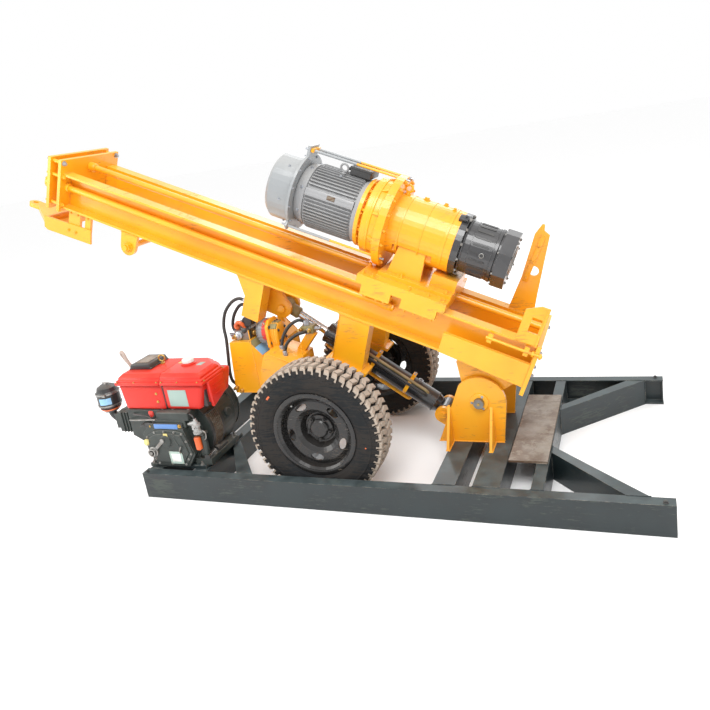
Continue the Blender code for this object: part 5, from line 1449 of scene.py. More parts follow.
bolts("radiator_lid_bolts", [(Vector((px, py, lo.z + 0.0062)), (0, 0, 1), 0.4)
                             for px in (lo.x + 0.008, hi.x - 0.008)
                             for py in (lo.y + 0.01, hi.y - 0.01)], ALLOY, "chassis",
      "engine_iron")
bm = bmesh.new()
top = HOPPER_Z[1]
add_turned(bm, (-0.603, -0.395, top - 0.002), (0, 0, 1),
           [(0, 0), (0, 0.043), (0.006, 0.043), (0.01, 0.036), (0.012, 0.036), (0.012, 0)], 40)
piece("fuel_cap_seat", bm, HOPPER_RED, "chassis")
bm = bmesh.new()
knurl = [0.0345 if k % 4 < 2 else 0.0325 for k in range(48)]
rings = [[bm.verts.new((-0.603 + wide * f * cos(2 * pi * k / 48),
                        -0.395 + wide * f * sin(2 * pi * k / 48), top + z))
          for k, wide in enumerate(knurl)]
         for z, f in ((0.0102, 1.0), (0.026, 1.0), (0.03, 0.9), (0.0315, 0.7))]
add_skin(bm, rings)
bm.faces.new(rings[0][::-1])
bm.faces.new(rings[-1])
piece("fuel_cap", bm, WHITE_CAP, "chassis")
bm = bmesh.new()
foot = Vector((-0.787, -0.385, top - 0.001))
add_turned(bm, foot, (0, 0, 1), [(0, 0), (0, 0.014), (0.006, 0.014), (0.01, 0.007),
                                 (0.016, 0.006), (0.016, 0)], 20)
ring_mid = foot + Vector((0, 0, 0.033))
add_pipe(bm, [ring_mid + Vector((0.018 * sin(a), 0.004 * sin(a), -0.018 * cos(a)))
              for a in (2 * pi * k / 28 for k in range(29))], 0.005, 10)
piece("hopper_lifting_ring", bm, BRASS, "chassis")
bm = bmesh.new()
add_pipe(bm, smooth_path([(-0.98, -0.415, 0.67), (-0.998, -0.415, 0.7),
                          (-1.014, -0.415, 0.735), (-1.026, -0.413, 0.764),
                          (-1.042, -0.408, 0.776), (-1.054, -0.4, 0.762),
                          (-1.042, -0.395, 0.73), (-1.02, -0.392, 0.695),
                          (-0.988, -0.39, 0.655)], 6), 0.0095, 14)
piece("hopper_handle", bm, PALE_HANDLE, "chassis")
print("hopper fittings done")

# %% [markdown]
# ## Diesel engine: castings and what hangs on them
#
# Under the hopper the engine is a dark green-black casting, open to view and
# full of small things: the gear case cover with its ring of bolts, the
# starting shaft, the injection pump and fuel filter, pipes, levers and blank
# plates. None is large, but together they are what makes an engine read as one.

# %% Gear case cover
GEAR_Y = -0.615
COVER = [(-0.782, 0.182), (-0.592, 0.182), (-0.54, 0.25), (-0.556, 0.33), (-0.576, 0.376),
         (-0.625, 0.388), (-0.7, 0.392), (-0.77, 0.384), (-0.828, 0.35), (-0.836, 0.3),
         (-0.822, 0.235)]


def shrink(outline, by):
    """The outline drawn towards its middle by a distance."""
    cx = sum(p[0] for p in outline) / len(outline)
    cz = sum(p[1] for p in outline) / len(outline)
    out = []
    for x, z in outline:
        d = hypot(x - cx, z - cz)
        out.append((cx + (x - cx) * (1 - by / d), cz + (z - cz) * (1 - by / d)))
    return out


bm = bmesh.new()
add_prism(bm, [(x, GEAR_Y + 0.004, z) for x, z in COVER], (0, -0.012, 0), 0.003, 3)
add_prism(bm, [(x, GEAR_Y - 0.006, z) for x, z in shrink(COVER, 0.02)], (0, -0.01, 0), 0.007, 4)
add_turned(bm, (-0.69, GEAR_Y - 0.014, 0.33), (0, -1, 0),
           [(0, 0), (0, 0.036), (0.008, 0.034), (0.01, 0.028), (0.01, 0)], 32)
add_prism(bm, [(-0.646, GEAR_Y - 0.014, 0.375), (-0.636, GEAR_Y - 0.014, 0.375),
               (-0.585, GEAR_Y - 0.014, 0.235), (-0.595, GEAR_Y - 0.014, 0.235)], (0, -0.005, 0),
          0.002)
for z0, z1, x0, x1 in ((0.437, 0.4865, -0.745, -0.533), (0.395, 0.445, -0.77, -0.56)):
    add_box(bm, ((x0 + x1) / 2, -0.545, (z0 + z1) / 2), ((x1 - x0) / 2, 0.055, (z1 - z0) / 2),
            bevel=0.008, segments=3)
cover = piece("gear_case_cover", bm, ENGINE_IRON, "chassis")
edge = shrink(COVER, 0.009)
cover_bolts = [(Vector((x, GEAR_Y - 0.0082, z)), (0, -1, 0), 0.5) for x, z in edge]
cover_bolts += [(Vector(((a[0] + b[0]) / 2, GEAR_Y - 0.0082, (a[1] + b[1]) / 2)), (0, -1, 0), 0.5)
                for a, b in ((edge[0], edge[1]), (edge[1], edge[2]), (edge[10], edge[0]))]
cover_bolts += [(Vector((x, -0.552, 0.4867)), (0, 0, 1), 0.6) for x in (-0.725, -0.655, -0.555)]
bolts("gear_case_cover_bolts", cover_bolts, STEEL, "chassis", "engine_iron", Head_height=0.007)
print("gear case cover:", len(cover.data.polygons), "faces,", len(cover_bolts), "bolts")

# %% Starting shaft, lever, caps and blank plates on the gear case
PALE_YELLOW = plain_finish("pale_yellow_cap", (0.72, 0.62, 0.24), (0.6, 0.5, 0.18), 0.4, 0.2,
                           0.2)
for name, paint, x, y, half in (
        ("yellow_blank_sheet", PALE_YELLOW, -0.655, -0.376, (0.024, 0.013)),
        ("pale_blank_sheet", LABEL_PALE, -0.518, -0.4, (0.017, 0.024))):
    bm = bmesh.new()
    add_box(bm, (x, y, HOPPER_Z[1] + 0.0003), (*half, 0.0005), bevel=0.0002)
    piece(name, bm, paint, "chassis")
face = GEAR_Y - 0.016
bm = bmesh.new()
add_turned(bm, (-0.79, face + 0.004, 0.264), (0, -1, 0),
           [(0, 0), (0, 0.03), (0.01, 0.03), (0.013, 0.024), (0.026, 0.023), (0.026, 0.016),
            (0.01, 0.016), (0.01, 0)], 32)
add_turned(bm, (-0.79, face + 0.004, 0.264), (0, -1, 0),
           [(0.01, 0), (0.01, 0.009), (0.03, 0.009), (0.032, 0.006), (0.032, 0)], 20)
add_prism(bm, [(-0.778, face, 0.286), (-0.762, face, 0.276), (-0.7, face, 0.328),
               (-0.712, face, 0.344)], (0, -0.01, 0), 0.003)
add_turned(bm, (-0.706, face + 0.002, 0.337), (0, -1, 0),
           [(0, 0), (0, 0.013), (0.018, 0.013), (0.018, 0)], 20)
add_pipe(bm, smooth_path([(-0.612, face, 0.262), (-0.604, face - 0.012, 0.282),
                          (-0.592, face - 0.01, 0.306)], 4), 0.0045, 10)
piece("starting_shaft", bm, STEEL, "chassis")
bm = bmesh.new()
add_turned(bm, (-0.826, GEAR_Y - 0.004, 0.316), (-0.25, -1, 0.2),
           [(0, 0), (0, 0.019), (0.012, 0.019), (0.018, 0.015), (0.018, 0)], 24)
add_box(bm, (-0.685, face - 0.0008, 0.366), (0.014, 0.0008, 0.011), bevel=0.0004)
piece("oil_filler_cap", bm, PALE_YELLOW, "chassis")
bm = bmesh.new()
add_box(bm, (-0.645, face - 0.001, 0.232), (0.043, 0.0009, 0.037), bevel=0.0005)
piece("gear_case_blank_plate", bm, LABEL_PALE, "chassis")
bm = bmesh.new()
add_box(bm, (-0.645, face - 0.0022, 0.232), (0.03, 0.0006, 0.024), bevel=0.0004)
piece("gear_case_plate_field", bm, WHITE_CAP, "chassis")
bm = bmesh.new()
add_box(bm, (-0.683, GEAR_Y + 0.002, 0.4105), (0.078, 0.003, 0.0135), bevel=0.001)
piece("blue_blank_strip", bm, LABEL_BLUE, "chassis")
bm = bmesh.new()
add_box(bm, (-0.7, GEAR_Y + 0.008, 0.41), (0.125, 0.0035, 0.017), bevel=0.0015)
add_box(bm, (-0.835, GEAR_Y + 0.03, 0.408), (0.025, 0.026, 0.006), bevel=0.0015)
piece("strip_bracket", bm, SATIN_BLACK_AND_SHADE, "chassis")
plate_rivets = [(Vector((-0.645 + dx, face - 0.0018, z)), (0, -1, 0), 0.16)
                for z in (0.264, 0.2) for dx in (-0.0375, 0.0375)]
bolts("strip_bolts", [(Vector((-0.593, GEAR_Y + 0.0045, 0.413)), (0, -1, 0), 0.75),
                      (Vector((-0.788, GEAR_Y + 0.0045, 0.41)), (0, -1, 0), 0.6), *plate_rivets],
      BRASS, "chassis", "engine_iron")

# %% Injection pump, fuel filter and pipes
bm = bmesh.new()
pump = Vector((-0.493, -0.598, 0.0))
add_turned(bm, pump + Vector((0, 0, 0.368)), (0, 0, 1),
           [(0, 0), (0, 0.022), (0.012, 0.024), (0.014, 0.019), (0.04, 0.019), (0.042, 0.024),
            (0.055, 0.024), (0.058, 0.015), (0.074, 0.013), (0.076, 0.008), (0.086, 0.008),
            (0.086, 0)], 24)
for z, out in ((0.385, (1, -0.4, 0)), (0.412, (0.2, -1, 0)), (0.43, (-1, -0.5, 0))):
    add_turned(bm, pump + Vector((0, 0, z)), out,
               [(0.01, 0), (0.01, 0.01), (0.03, 0.01), (0.03, 0.0065), (0.04, 0.0065),
                (0.04, 0)], 12)
piece("injection_pump", bm, ALLOY, "chassis")
bm = bmesh.new()
add_turned(bm, (-0.5, -0.602, 0.272), (-0.03, 0.0, 1.0),
           [(0, 0), (0, 0.012), (0.006, 0.0185), (0.07, 0.0185), (0.076, 0.014), (0.076, 0)], 28)
piece("fuel_filter", bm, ORANGE_PART, "chassis")
bm = bmesh.new()
add_turned(bm, (-0.47, -0.585, 0.235), (0.0, 0.0, 1.0),
           [(0, 0), (0, 0.01), (0.01, 0.016), (0.105, 0.016), (0.112, 0.011), (0.13, 0.009),
            (0.13, 0)], 24)
add_box(bm, (-0.492, -0.575, 0.356), (0.03, 0.022, 0.006), bevel=0.002)
add_box(bm, (-0.505, -0.56, 0.27), (0.012, 0.02, 0.05), bevel=0.003)
piece("filter_bracket", bm, ENGINE_IRON, "chassis")
bm = bmesh.new()
add_pipe(bm, smooth_path([(-0.742, -0.612, 0.449), (-0.82, -0.606, 0.444),
                          (-0.9, -0.596, 0.436), (-0.95, -0.58, 0.428)], 5), 0.0042, 10)
add_pipe(bm, smooth_path([(-0.455, -0.603, 0.387), (-0.44, -0.602, 0.372),
                          (-0.446, -0.6, 0.34), (-0.468, -0.592, 0.325)], 5), 0.0036, 10)
piece("linkage_rods", bm, STEEL, "chassis")
bm = bmesh.new()
add_pipe(bm, smooth_path([(-0.493, -0.598, 0.448), (-0.496, -0.602, 0.468),
                          (-0.515, -0.596, 0.478), (-0.54, -0.58, 0.47)], 5), 0.004, 10)
add_pipe(bm, smooth_path([(-0.95, -0.545, 0.455), (-0.9, -0.585, 0.466),
                          (-0.84, -0.592, 0.462), (-0.8, -0.59, 0.45),
                          (-0.77, -0.6, 0.425)], 5), 0.0048, 10)
piece("fuel_pipes", bm, SATIN_BLACK_AND_SHADE, "chassis")
bm = bmesh.new()
add_turned(bm, (-0.797, -0.56, 0.45), (0, -0.2, 1),
           [(0, 0), (0, 0.017), (0.02, 0.019), (0.03, 0.017), (0.034, 0.01), (0.034, 0)], 24)
piece("water_drain_cap", bm, RED_PART, "chassis")
bm = bmesh.new()
add_box(bm, (-0.797, -0.545, 0.438), (0.022, 0.03, 0.016), bevel=0.005)
add_box(bm, (-0.88, -0.53, 0.43), (0.06, 0.02, 0.02), bevel=0.006)
for k in range(5):
    add_box(bm, (-0.97 - 0.022 * k, -0.43, 0.385), (0.003, 0.098, 0.062), bevel=0.002)
add_turned(bm, (-1.09, -0.43, 0.385), (-1, 0, 0),
           [(0.03, 0), (0.03, 0.045), (0.042, 0.042), (0.046, 0.03), (0.046, 0)], 32)
piece("cylinder_head_parts", bm, ENGINE_IRON, "chassis")
bm = bmesh.new()
add_pipe(bm, smooth_path([(-1.0, -0.47, 0.44), (-1.0, -0.5, 0.468),
                          (-0.96, -0.52, 0.474), (-0.93, -0.52, 0.455)], 5), 0.012, 12)
piece("exhaust_bend", bm, RUSTED, "chassis")
print("engine small parts done; chassis pieces:", piece_count["chassis"])

# %% Fan guard with ribs, fly wheel bands, governor spring and bed bolts
bm = bmesh.new()
FAN = Vector((-0.64, -0.386, 0.335))
for y0, y1 in ((-0.512, -0.492), (-0.412, -0.396)):
    add_sheet(bm, lambda r, a: FAN + Vector((r * cos(a), y0 - FAN.y, r * sin(a))),
              0.176, 0.008, -34, 34, 14, (0, y1 - y0, 0))
for a in (-34, 34):
    add_box(bm, in_plane(FAN, 0.18, a, -0.068), (0.006, 0.058, 0.006), bevel=0.001)
piece("fan_guard_frame", bm, SATIN_BLACK_AND_SHADE, "chassis")
bm = bmesh.new()
for k in range(6):
    y = -0.486 + 0.014 * k
    add_sheet(bm, lambda r, a: FAN + Vector((r * cos(a), y - FAN.y, r * sin(a))),
              0.1775, 0.0055, -32, 32, 10, (0, 0.0045, 0))
piece("fan_guard_ribs", bm, RUSTED, "chassis")
bm = bmesh.new()
crank = Vector((-0.66, -0.2, 0.36))
add_turned(bm, crank, (0, 1, 0), [(-0.06, 0.1852), (-0.06, 0.188), (-0.052, 0.1905),
                                  (-0.044, 0.188), (-0.044, 0.1852)], 72)
add_turned(bm, crank, (0, 1, 0), [(0.0, 0.1852), (0.0, 0.1885), (0.0095, 0.1885),
                                  (0.0095, 0.1852)], 72)
add_turned(bm, (-0.462, -0.336, 0.372), (1, 0, 0.15),
           [(-0.01, 0), (-0.01, 0.027), (0.008, 0.027), (0.012, 0.022), (0.012, 0)], 28)
add_turned(bm, crank, (0, 1, 0), [(0.0402, 0), (0.0402, 0.02), (0.056, 0.02), (0.056, 0)], 6)
piece("fly_wheel_bands", bm, ENGINE_IRON, "chassis")
bm = bmesh.new()
coil = [Vector((-0.478 + 0.0135 * cos(a), -0.575 + 0.0125 * a / (2 * pi), 0.216 + 0.0135 * sin(a)))
        for a in (2 * pi * k / 16 for k in range(16 * 6 + 1))]
add_pipe(bm, coil, 0.0026, 8)
piece("governor_spring", bm, STEEL, "chassis")
bm = bmesh.new()
add_turned(bm, (-0.478, -0.586, 0.216), (0, 1, 0),
           [(0, 0), (0, 0.018), (0.008, 0.018), (0.008, 0.006), (0.09, 0.006),
            (0.09, 0.021), (0.12, 0.021), (0.123, 0.016), (0.123, 0)], 28)
add_box(bm, (-0.498, -0.44, 0.212), (0.036, 0.05, 0.01), bevel=0.003)
piece("spring_housing", bm, SATIN_BLACK_AND_SHADE, "chassis")
bed_bolts = [(Vector((x, y, RAIL_TOP + 0.0202)), (0, 0, 1), 1.0)
             for x in (-0.845, -0.52) for y in (-0.585, -0.42, -0.24)]
bed_bolts += [(Vector((-0.468, y, 0.2056)), (0, 0, 1), 0.7) for y in (-0.52, -0.33)]
bolts("engine_bed_bolts", bed_bolts, STEEL, "chassis", "engine_iron", Thread_height=0.014)

# %% Air cleaner: clamp bands, wing nut, blank label
air = Vector((-1.207, -0.43, 0.42))
SHEET = 0.0008                       # thickness of a label wrapped on a cylinder
bm = bmesh.new()
for z in (0.04, 0.112):
    add_turned(bm, air + Vector((0, 0, z)), (0, 0, 1),
               [(0, 0.0682), (0, 0.0705), (0.009, 0.0705), (0.009, 0.0682)], 48)
add_box(bm, air + Vector((0.03, -0.068, 0.1165)), (0.012, 0.006, 0.007), bevel=0.001)
piece("air_cleaner_bands", bm, STEEL, "chassis")
bm = bmesh.new()
top = air + Vector((0, 0, 0.1642))
add_turned(bm, top, (0, 0, 1), [(0, 0), (0, 0.01), (0.008, 0.008), (0.014, 0.004), (0.014, 0)],
           16)
add_prism(bm, [top + Vector((-0.02, -0.002, 0.004)), top + Vector((0.02, -0.002, 0.004)),
               top + Vector((0.022, -0.002, 0.013)), top + Vector((-0.022, -0.002, 0.013))],
          (0, 0.004, 0), 0.001)
piece("air_cleaner_nut", bm, STEEL, "chassis")
bm = bmesh.new()
add_sheet(bm, lambda r, a: air + Vector((r * cos(a), r * sin(a), 0.056)),
          0.0683, SHEET, -100, -38, 10, (0, 0, 0.04))
piece("air_cleaner_blank_label", bm, BLUE_LABEL_AND_REFLECTION, "chassis")
bm = bmesh.new()
add_turned(bm, air, (0, 0, 1), [(0.012, 0.0535), (0.012, 0.056), (0.022, 0.062),
                                (0.022, 0.059)], 40)
piece("air_cleaner_seal", bm, ORANGE_PART, "chassis")
print("engine done; chassis pieces:", piece_count["chassis"])

# %% [markdown]
# ## Hydraulics: tank, pump housing and control valve
#
# The tank and the pump housing are folded yellow sheet, with weld beads at the
# corners and bolted holes, and the dark inside of one hole is painted shade. The
# control valve is a block with a row of capped spools, one lever, a covered gauge
# and fittings for the hoses.

# %% Tank and pump housing: welds, cap, bolts, a painted reflection, an olive sheet and painted shade in a hole
tank_lo, tank_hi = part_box("oil_tank")
box_lo, box_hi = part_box("pump_box")
lines = []
for y in (tank_lo.y + 0.002, tank_hi.y - 0.002):
    lines.append([(tank_hi.x - 0.0006, y, tank_lo.z + 0.01), (tank_hi.x - 0.0006, y, 0.66)])
    lines.append([(tank_hi.x - 0.004, y, 0.672), (-0.294, y, 0.75)])
lines.append([(tank_lo.x + 0.005, tank_lo.y - 0.0004, tank_lo.z + 0.003),
              (tank_hi.x - 0.005, tank_lo.y - 0.0004, tank_lo.z + 0.003)])
lines.append([(box_lo.x + 0.004, box_lo.y - 0.0004, box_lo.z + 0.02),
              (box_lo.x + 0.004, box_lo.y - 0.0004, box_hi.z - 0.01)])
lines.append([(box_hi.x - 0.001, box_lo.y + 0.001, box_lo.z + 0.11),
              (box_hi.x - 0.001, box_lo.y + 0.001, box_hi.z - 0.09)])
welds("tank_welds", lines, YELLOW, "mast", "yellow_paint")
bm = bmesh.new()
cap = Vector((-0.372, 0.12, tank_hi.z - 0.001))
add_turned(bm, cap, (0, 0, 1), [(0, 0), (0, 0.045), (0.006, 0.045), (0.008, 0.034), (0.03, 0.034),
                                (0.034, 0.03), (0.034, 0)], 36)
for k in range(18):
    a = 2 * pi * k / 18
    add_box(bm, cap + Vector((0.0345 * cos(a), 0.0345 * sin(a), 0.019)), (0.0025, 0.0025, 0.009),
            bevel=0.001)
piece("tank_filler_cap", bm, SATIN_BLACK_AND_SHADE, "mast")
bolts("tank_bolts", [(cap + Vector((0.0395 * cos(a), 0.0395 * sin(a), 0.0065)), (0, 0, 1), 0.35)
                     for a in (k * pi / 3 + 0.26 for k in range(6))]
      + [(Vector((px, box_lo.y - 0.0002, pz)), (0, -1, 0), 0.7)
         for px, pz in ((-0.186, 0.496), (-0.16, 0.505))], ZINC, "mast", "yellow_paint")
SLOPE = (Vector((0.747, 0, 0.665)), Vector((0, 1, 0)), Vector((-0.665, 0, 0.747)))
OLIVE = finish_material("olive_part", (0.3, 0.26, 0.11), (0.22, 0.19, 0.08), 0.4,
                        dust_amount=0.25, rubbed=0.4)
# On the tank's sloped top: a blue sheet that is a painted reflection, and an olive sheet beside
# it.
for name, paint, along, half in (("tank_top_painted_reflection", BLUE_LABEL_AND_REFLECTION, -0.022, 0.03),
                                 ("tank_top_olive_sheet", OLIVE, 0.031, 0.0225)):
    bm = bmesh.new()
    add_box(bm, Vector((-0.2595, -0.082, 0.71)) + SLOPE[2] * along + SLOPE[0] * 0.0008,
            (0.0007, 0.148, half), SLOPE, bevel=0.0003)
    piece(name, bm, paint, "mast")
# Painted shade: a black disc inside a raised ring stands for the dark inside of the hole.
hole, r = Vector((-0.085, box_lo.y, 0.56)), 0.015
bm = bmesh.new()
add_turned(bm, hole + ACROSS * 0.0005, (0, -1, 0),
           [(0, r * 0.55), (0, r), (0.0025, r), (0.0025, r * 0.55)], 28)
add_turned(bm, hole - ACROSS * 0.0012, (0, -1, 0),
           [(0, 0), (0, r * 0.54), (0.0006, r * 0.54), (0.0006, 0)], 28)
piece("pump_box_hole_shade", bm, SATIN_BLACK_AND_SHADE, "mast")
print("tank done")

# %% Control valve: sections, spool caps, lever, knob, gauge cover and fittings
valve_lo, valve_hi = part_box("valve_block")
print("valve block from z", round(valve_lo.z, 3), "to", round(valve_hi.z, 3))
SPOOL_Y = [-0.165 + 0.055 * k for k in range(4)]
sections, caps = bmesh.new(), bmesh.new()
for y in SPOOL_Y:
    add_box(sections, (-0.355, y, 0.7805), (0.0462, 0.003, 0.025), bevel=0.0008)
    add_turned(sections, (-0.3555, y, 0.807), (0, 0, 1),
               [(0, 0), (0, 0.0165), (0.008, 0.0165), (0.012, 0.013), (0.03, 0.0125),
                (0.032, 0.008), (0.032, 0)], 20)
    add_turned(caps, (-0.355, y, 0.848), (0, 0, 1),
               [(0, 0), (0, 0.01), (0.01, 0.01), (0.014, 0.005), (0.014, 0)], 16)
piece("valve_sections", sections, ENGINE_IRON, "mast")
piece("valve_spool_caps", caps, STEEL, "mast")
bm = bmesh.new()
add_pipe(bm, [(-0.362, -0.168, 0.812), (-0.335, -0.2, 0.818), (-0.3, -0.245, 0.826)], 0.0052,
         12)
piece("valve_lever", bm, RUSTED, "mast")
bm = bmesh.new()
add_turned(bm, (-0.304, -0.24, 0.8253), (0.62, -0.78, 0.14),
           [(0, 0), (0, 0.0075), (0.008, 0.014), (0.022, 0.016), (0.034, 0.012),
            (0.037, 0.006), (0.037, 0)], 24)
piece("valve_knob", bm, SATIN_BLACK_AND_SHADE, "mast")
gauge = Vector((-0.32, -0.15, 0.852))
bm = bmesh.new()
add_turned(bm, gauge + Vector((0, -0.011, 0)), (0, -1, 0),
           [(-0.002, 0), (-0.002, 0.0305), (0.007, 0.0305), (0.009, 0.028), (0.009, 0.024),
            (0.006, 0.0235), (0.006, 0)], 40)
piece("gauge_cover", bm, SATIN_BLACK_AND_SHADE, "mast")
bm = bmesh.new()
add_turned(bm, (-0.372, -0.19, 0.779), (-0.1, -1, 0.1),
           [(0, 0), (0, 0.024), (0.01, 0.024), (0.013, 0.02), (0.013, 0.012),
            (0.022, 0.012), (0.024, 0.009), (0.024, 0)], 32)
add_turned(bm, (-0.402, -0.165, 0.79), (-1, -0.4, 0.2),
           [(0, 0), (0, 0.013), (0.016, 0.013), (0.016, 0.01), (0.04, 0.009), (0.04, 0)], 6)
piece("silver_fitting", bm, ZINC, "mast")


def add_union(bm, at, out, across, length):
    """A hose fitting: hexagon nut, collar and a short round stub."""
    add_turned(bm, at, out, [(0, 0), (0, across), (length * 0.45, across), (length * 0.45, 0)], 6)
    add_turned(bm, at, out, [(length * 0.4, 0), (length * 0.4, across * 0.8),
                             (length * 0.55, across * 0.8), (length * 0.6, across * 0.62),
                             (length, across * 0.6), (length, 0)], 20)


brass = bmesh.new()
for at, out, across, length in (((-0.312, -0.13, 0.776), (0.8, -0.6, 0.1), 0.016, 0.045),
                                ((-0.385, -0.188, 0.776), (-0.3, -1, 0), 0.015, 0.04),
                                ((-0.43, -0.232, 0.478), (0.0, -1, 0.1), 0.014, 0.034),
                                ((-0.4, -0.232, 0.462), (0.2, -1, -0.1), 0.012, 0.03),
                                ((0.012, -0.159, 0.79), (-0.3, -1, 0.2), 0.012, 0.03),
                                ((0.058, -0.159, 0.786), (0.2, -1, 0.1), 0.013, 0.034)):
    add_union(brass, at, out, across, length)
piece("brass_fittings", brass, BRASS, "mast")
zinc = bmesh.new()
for at, out, across, length in (((-0.402, -0.15, 0.776), (-1, -0.2, 0.0), 0.02, 0.046),
                                ((-0.402, -0.06, 0.78), (-1, 0.0, 0.0), 0.018, 0.05),
                                ((-0.402, 0.01, 0.78), (-1, 0.0, 0.0), 0.018, 0.05),
                                ((-0.308, 0.0, 0.78), (1, 0.0, 0.1), 0.018, 0.04),
                                ((0.08, -0.128, 0.784), (1, 0.0, 0.05), 0.014, 0.036),
                                ((0.04, -0.128, 0.806), (0, 0.0, 1.0), 0.013, 0.03),
                                ((-0.247, -0.145, 0.845), (0, -0.3, 1.0), 0.014, 0.03)):
    add_union(zinc, at, out, across, length)
piece("zinc_fittings", zinc, ZINC, "mast")
bm = bmesh.new()
add_turned(bm, (-0.392, -0.135, 0.82), (-0.2, -1, 0.25),
           [(-0.02, 0), (-0.02, 0.022), (0.022, 0.022), (0.03, 0.017), (0.03, 0)], 24)
add_pipe(bm, smooth_path([(-0.392, -0.15, 0.8), (-0.39, -0.165, 0.835),
                          (-0.372, -0.176, 0.852), (-0.352, -0.172, 0.842),
                          (-0.345, -0.16, 0.815)], 5), 0.0115, 14)
piece("relief_valve_cap", bm, ORANGE_PART, "mast")
print("control valve done; mast pieces:", piece_count["mast"])

# %% Pump motor: end face, ribs and flange bolts
pump_axis = Vector((-0.185, -0.145, 0.788))
bm = bmesh.new()
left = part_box("pump_motor")[0].x
add_turned(bm, (left - 0.0005, pump_axis.y, pump_axis.z), (-1, 0, 0),
           [(0, 0), (0, 0.06), (0.004, 0.058), (0.004, 0.046), (0.001, 0.044), (0.001, 0.018),
            (0.006, 0.016), (0.006, 0)], 40)
piece("pump_motor_end", bm, MOTOR_GREY, "mast")
bm = bmesh.new()
for a in (radians(-170 + 17 * k) for k in range(20)):
    out = Vector((0, cos(a), sin(a)))
    add_box(bm, Vector((left + 0.026, pump_axis.y, pump_axis.z)) + out * 0.0655,
            (0.02, 0.0012, 0.004), [Vector((1, 0, 0)), Vector((0, -out.z, out.y)), out],
            bevel=0.0005)
piece("pump_motor_ribs", bm, MOTOR_GREY, "mast")
bolts("pump_motor_bolts", [(Vector((left - 0.0044, pump_axis.y + 0.052 * cos(a),
                                    pump_axis.z + 0.052 * sin(a))), (-1, 0, 0), 0.35)
                           for a in (k * pi / 2 + 0.4 for k in range(4))]
      + [(Vector((-0.1852, pump_axis.y + dy, pump_axis.z + dz)), (-1, 0, 0), 0.55)
         for dy in (-0.06, 0.06) for dz in (-0.06, 0.06)], ZINC, "mast", "grey_paint")
print("pump motor at x", round(left, 3))

# %% Pump housing rebuilt with bevelled sheet, a rounded flange and the pump body; the pump motor's blank label
bm = bmesh.new()
near, far = box_lo.y, box_hi.y
wall = [(-0.2217, 0.445), (0.018, 0.445), (0.018, 0.655), (-0.13, 0.715), (-0.152, 0.7145),
        (-0.2217, 0.56)]
add_prism(bm, [(x, near, z) for x, z in wall], (0, far - near, 0), 0.0035, 3)
lip = [(-0.15, 0.715), (-0.131, 0.7168), (0.0195, 0.656), (0.0195, 0.65), (-0.133, 0.7105)]
add_prism(bm, [(x, near - 0.0015, z) for x, z in lip], (0, 0.004, 0), 0.0008)
py, pz = pump_axis.y, pump_axis.z
rounded = [(py - 0.072, pz - 0.078), (py + 0.072, pz - 0.078), (py + 0.072, pz + 0.04),
           (py + 0.04, pz + 0.072), (py - 0.04, pz + 0.072), (py - 0.072, pz + 0.04)]
add_prism(bm, [(-0.1847, y, z) for y, z in rounded], (0.0177, 0, 0), 0.003, 3)
add_prism(bm, [(-0.1847, y, z) for y, z in ((py - 0.06, 0.64), (py + 0.06, 0.64),
                                            (py + 0.06, pz - 0.07), (py - 0.06, pz - 0.07))],
          (0.0177, 0, 0), 0.002)
body_shape = [(py - 0.056, pz - 0.082), (py + 0.056, pz - 0.082), (py + 0.056, pz + 0.022),
              (py + 0.026, pz + 0.052), (py - 0.026, pz + 0.052), (py - 0.056, pz + 0.022)]
add_prism(bm, [(-0.168, y, z) for y, z in body_shape], (0.048, 0, 0), 0.007, 3)
for k in range(3):
    x = -0.16 + 0.014 * k
    add_prism(bm, [(x, y + (y - py) * 0.055, z + (0.0025 if z > pz else 0))
                   for y, z in body_shape], (0.0045, 0, 0), 0.001)
add_prism(bm, [(x, -0.15, z) for x, z in ((-0.057, 0.66), (-0.007, 0.65), (0.083, 0.752),
                                           (0.046, 0.785))], (0, 0.045, 0), 0.0025)
add_prism(bm, [(0.003, -0.16, 0.765), (0.078, -0.16, 0.765), (0.078, -0.095, 0.765),
               (0.003, -0.095, 0.765)], (0, 0, 0.04), 0.003)
add_prism(bm, [(-0.076, -0.156, 0.67), (0.013, -0.156, 0.642), (0.013, -0.099, 0.642),
               (-0.076, -0.099, 0.67)], (0.002, 0, 0.016), 0.001)
housing = piece("pump_housing", bm, YELLOW, "mast")
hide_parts("pump_box")
bm = bmesh.new()
add_box(bm, (0.0405, -0.1275, 0.7852), (0.038, 0.0328, 0.0204), bevel=0.003)
piece("manifold_block", bm, OLIVE, "mast")
bm = bmesh.new()
add_box(bm, (-0.144, py - 0.002, pz + 0.044), (0.022, 0.025, 0.012), bevel=0.005)
add_box(bm, (-0.144, py - 0.042, pz + 0.0345), (0.02, 0.016, 0.009),
        [Vector((1, 0, 0)), Vector((0, 0.707, 0.707)), Vector((0, -0.707, 0.707))], bevel=0.002)
piece("pump_top_port", bm, OLIVE, "mast")
bolts("pump_body_bolts", [(Vector((-0.1667, py + sy * 0.052, pz + sz)), (1, 0, 0), 0.75)
                          for sy, sz in ((-1, 0.034), (1, 0.034), (-1, -0.058), (1, -0.058))]
      + [(Vector((-0.1199, py + sy * 0.038, pz + sz)), (1, 0, 0), 0.6)
         for sy, sz in ((-1, 0.012), (1, 0.012), (-1, -0.05), (1, -0.05))]
      + [(Vector((-0.144, py + dy, pz + 0.056)), (0, 0, 1), 0.55) for dy in (-0.014, 0.012)],
      SATIN_BLACK_AND_SHADE, "mast", "engine_iron")
bm = bmesh.new()
add_sheet(bm, lambda r, a: (-0.212, pump_axis.y + r * cos(a), pump_axis.z + r * sin(a)),
          0.0664, SHEET, 70, 215, 10, (0.026, 0, 0))
piece("pump_motor_blank_label", bm, RED_PART, "mast")
print("pump housing:", len(housing.data.polygons), "faces")

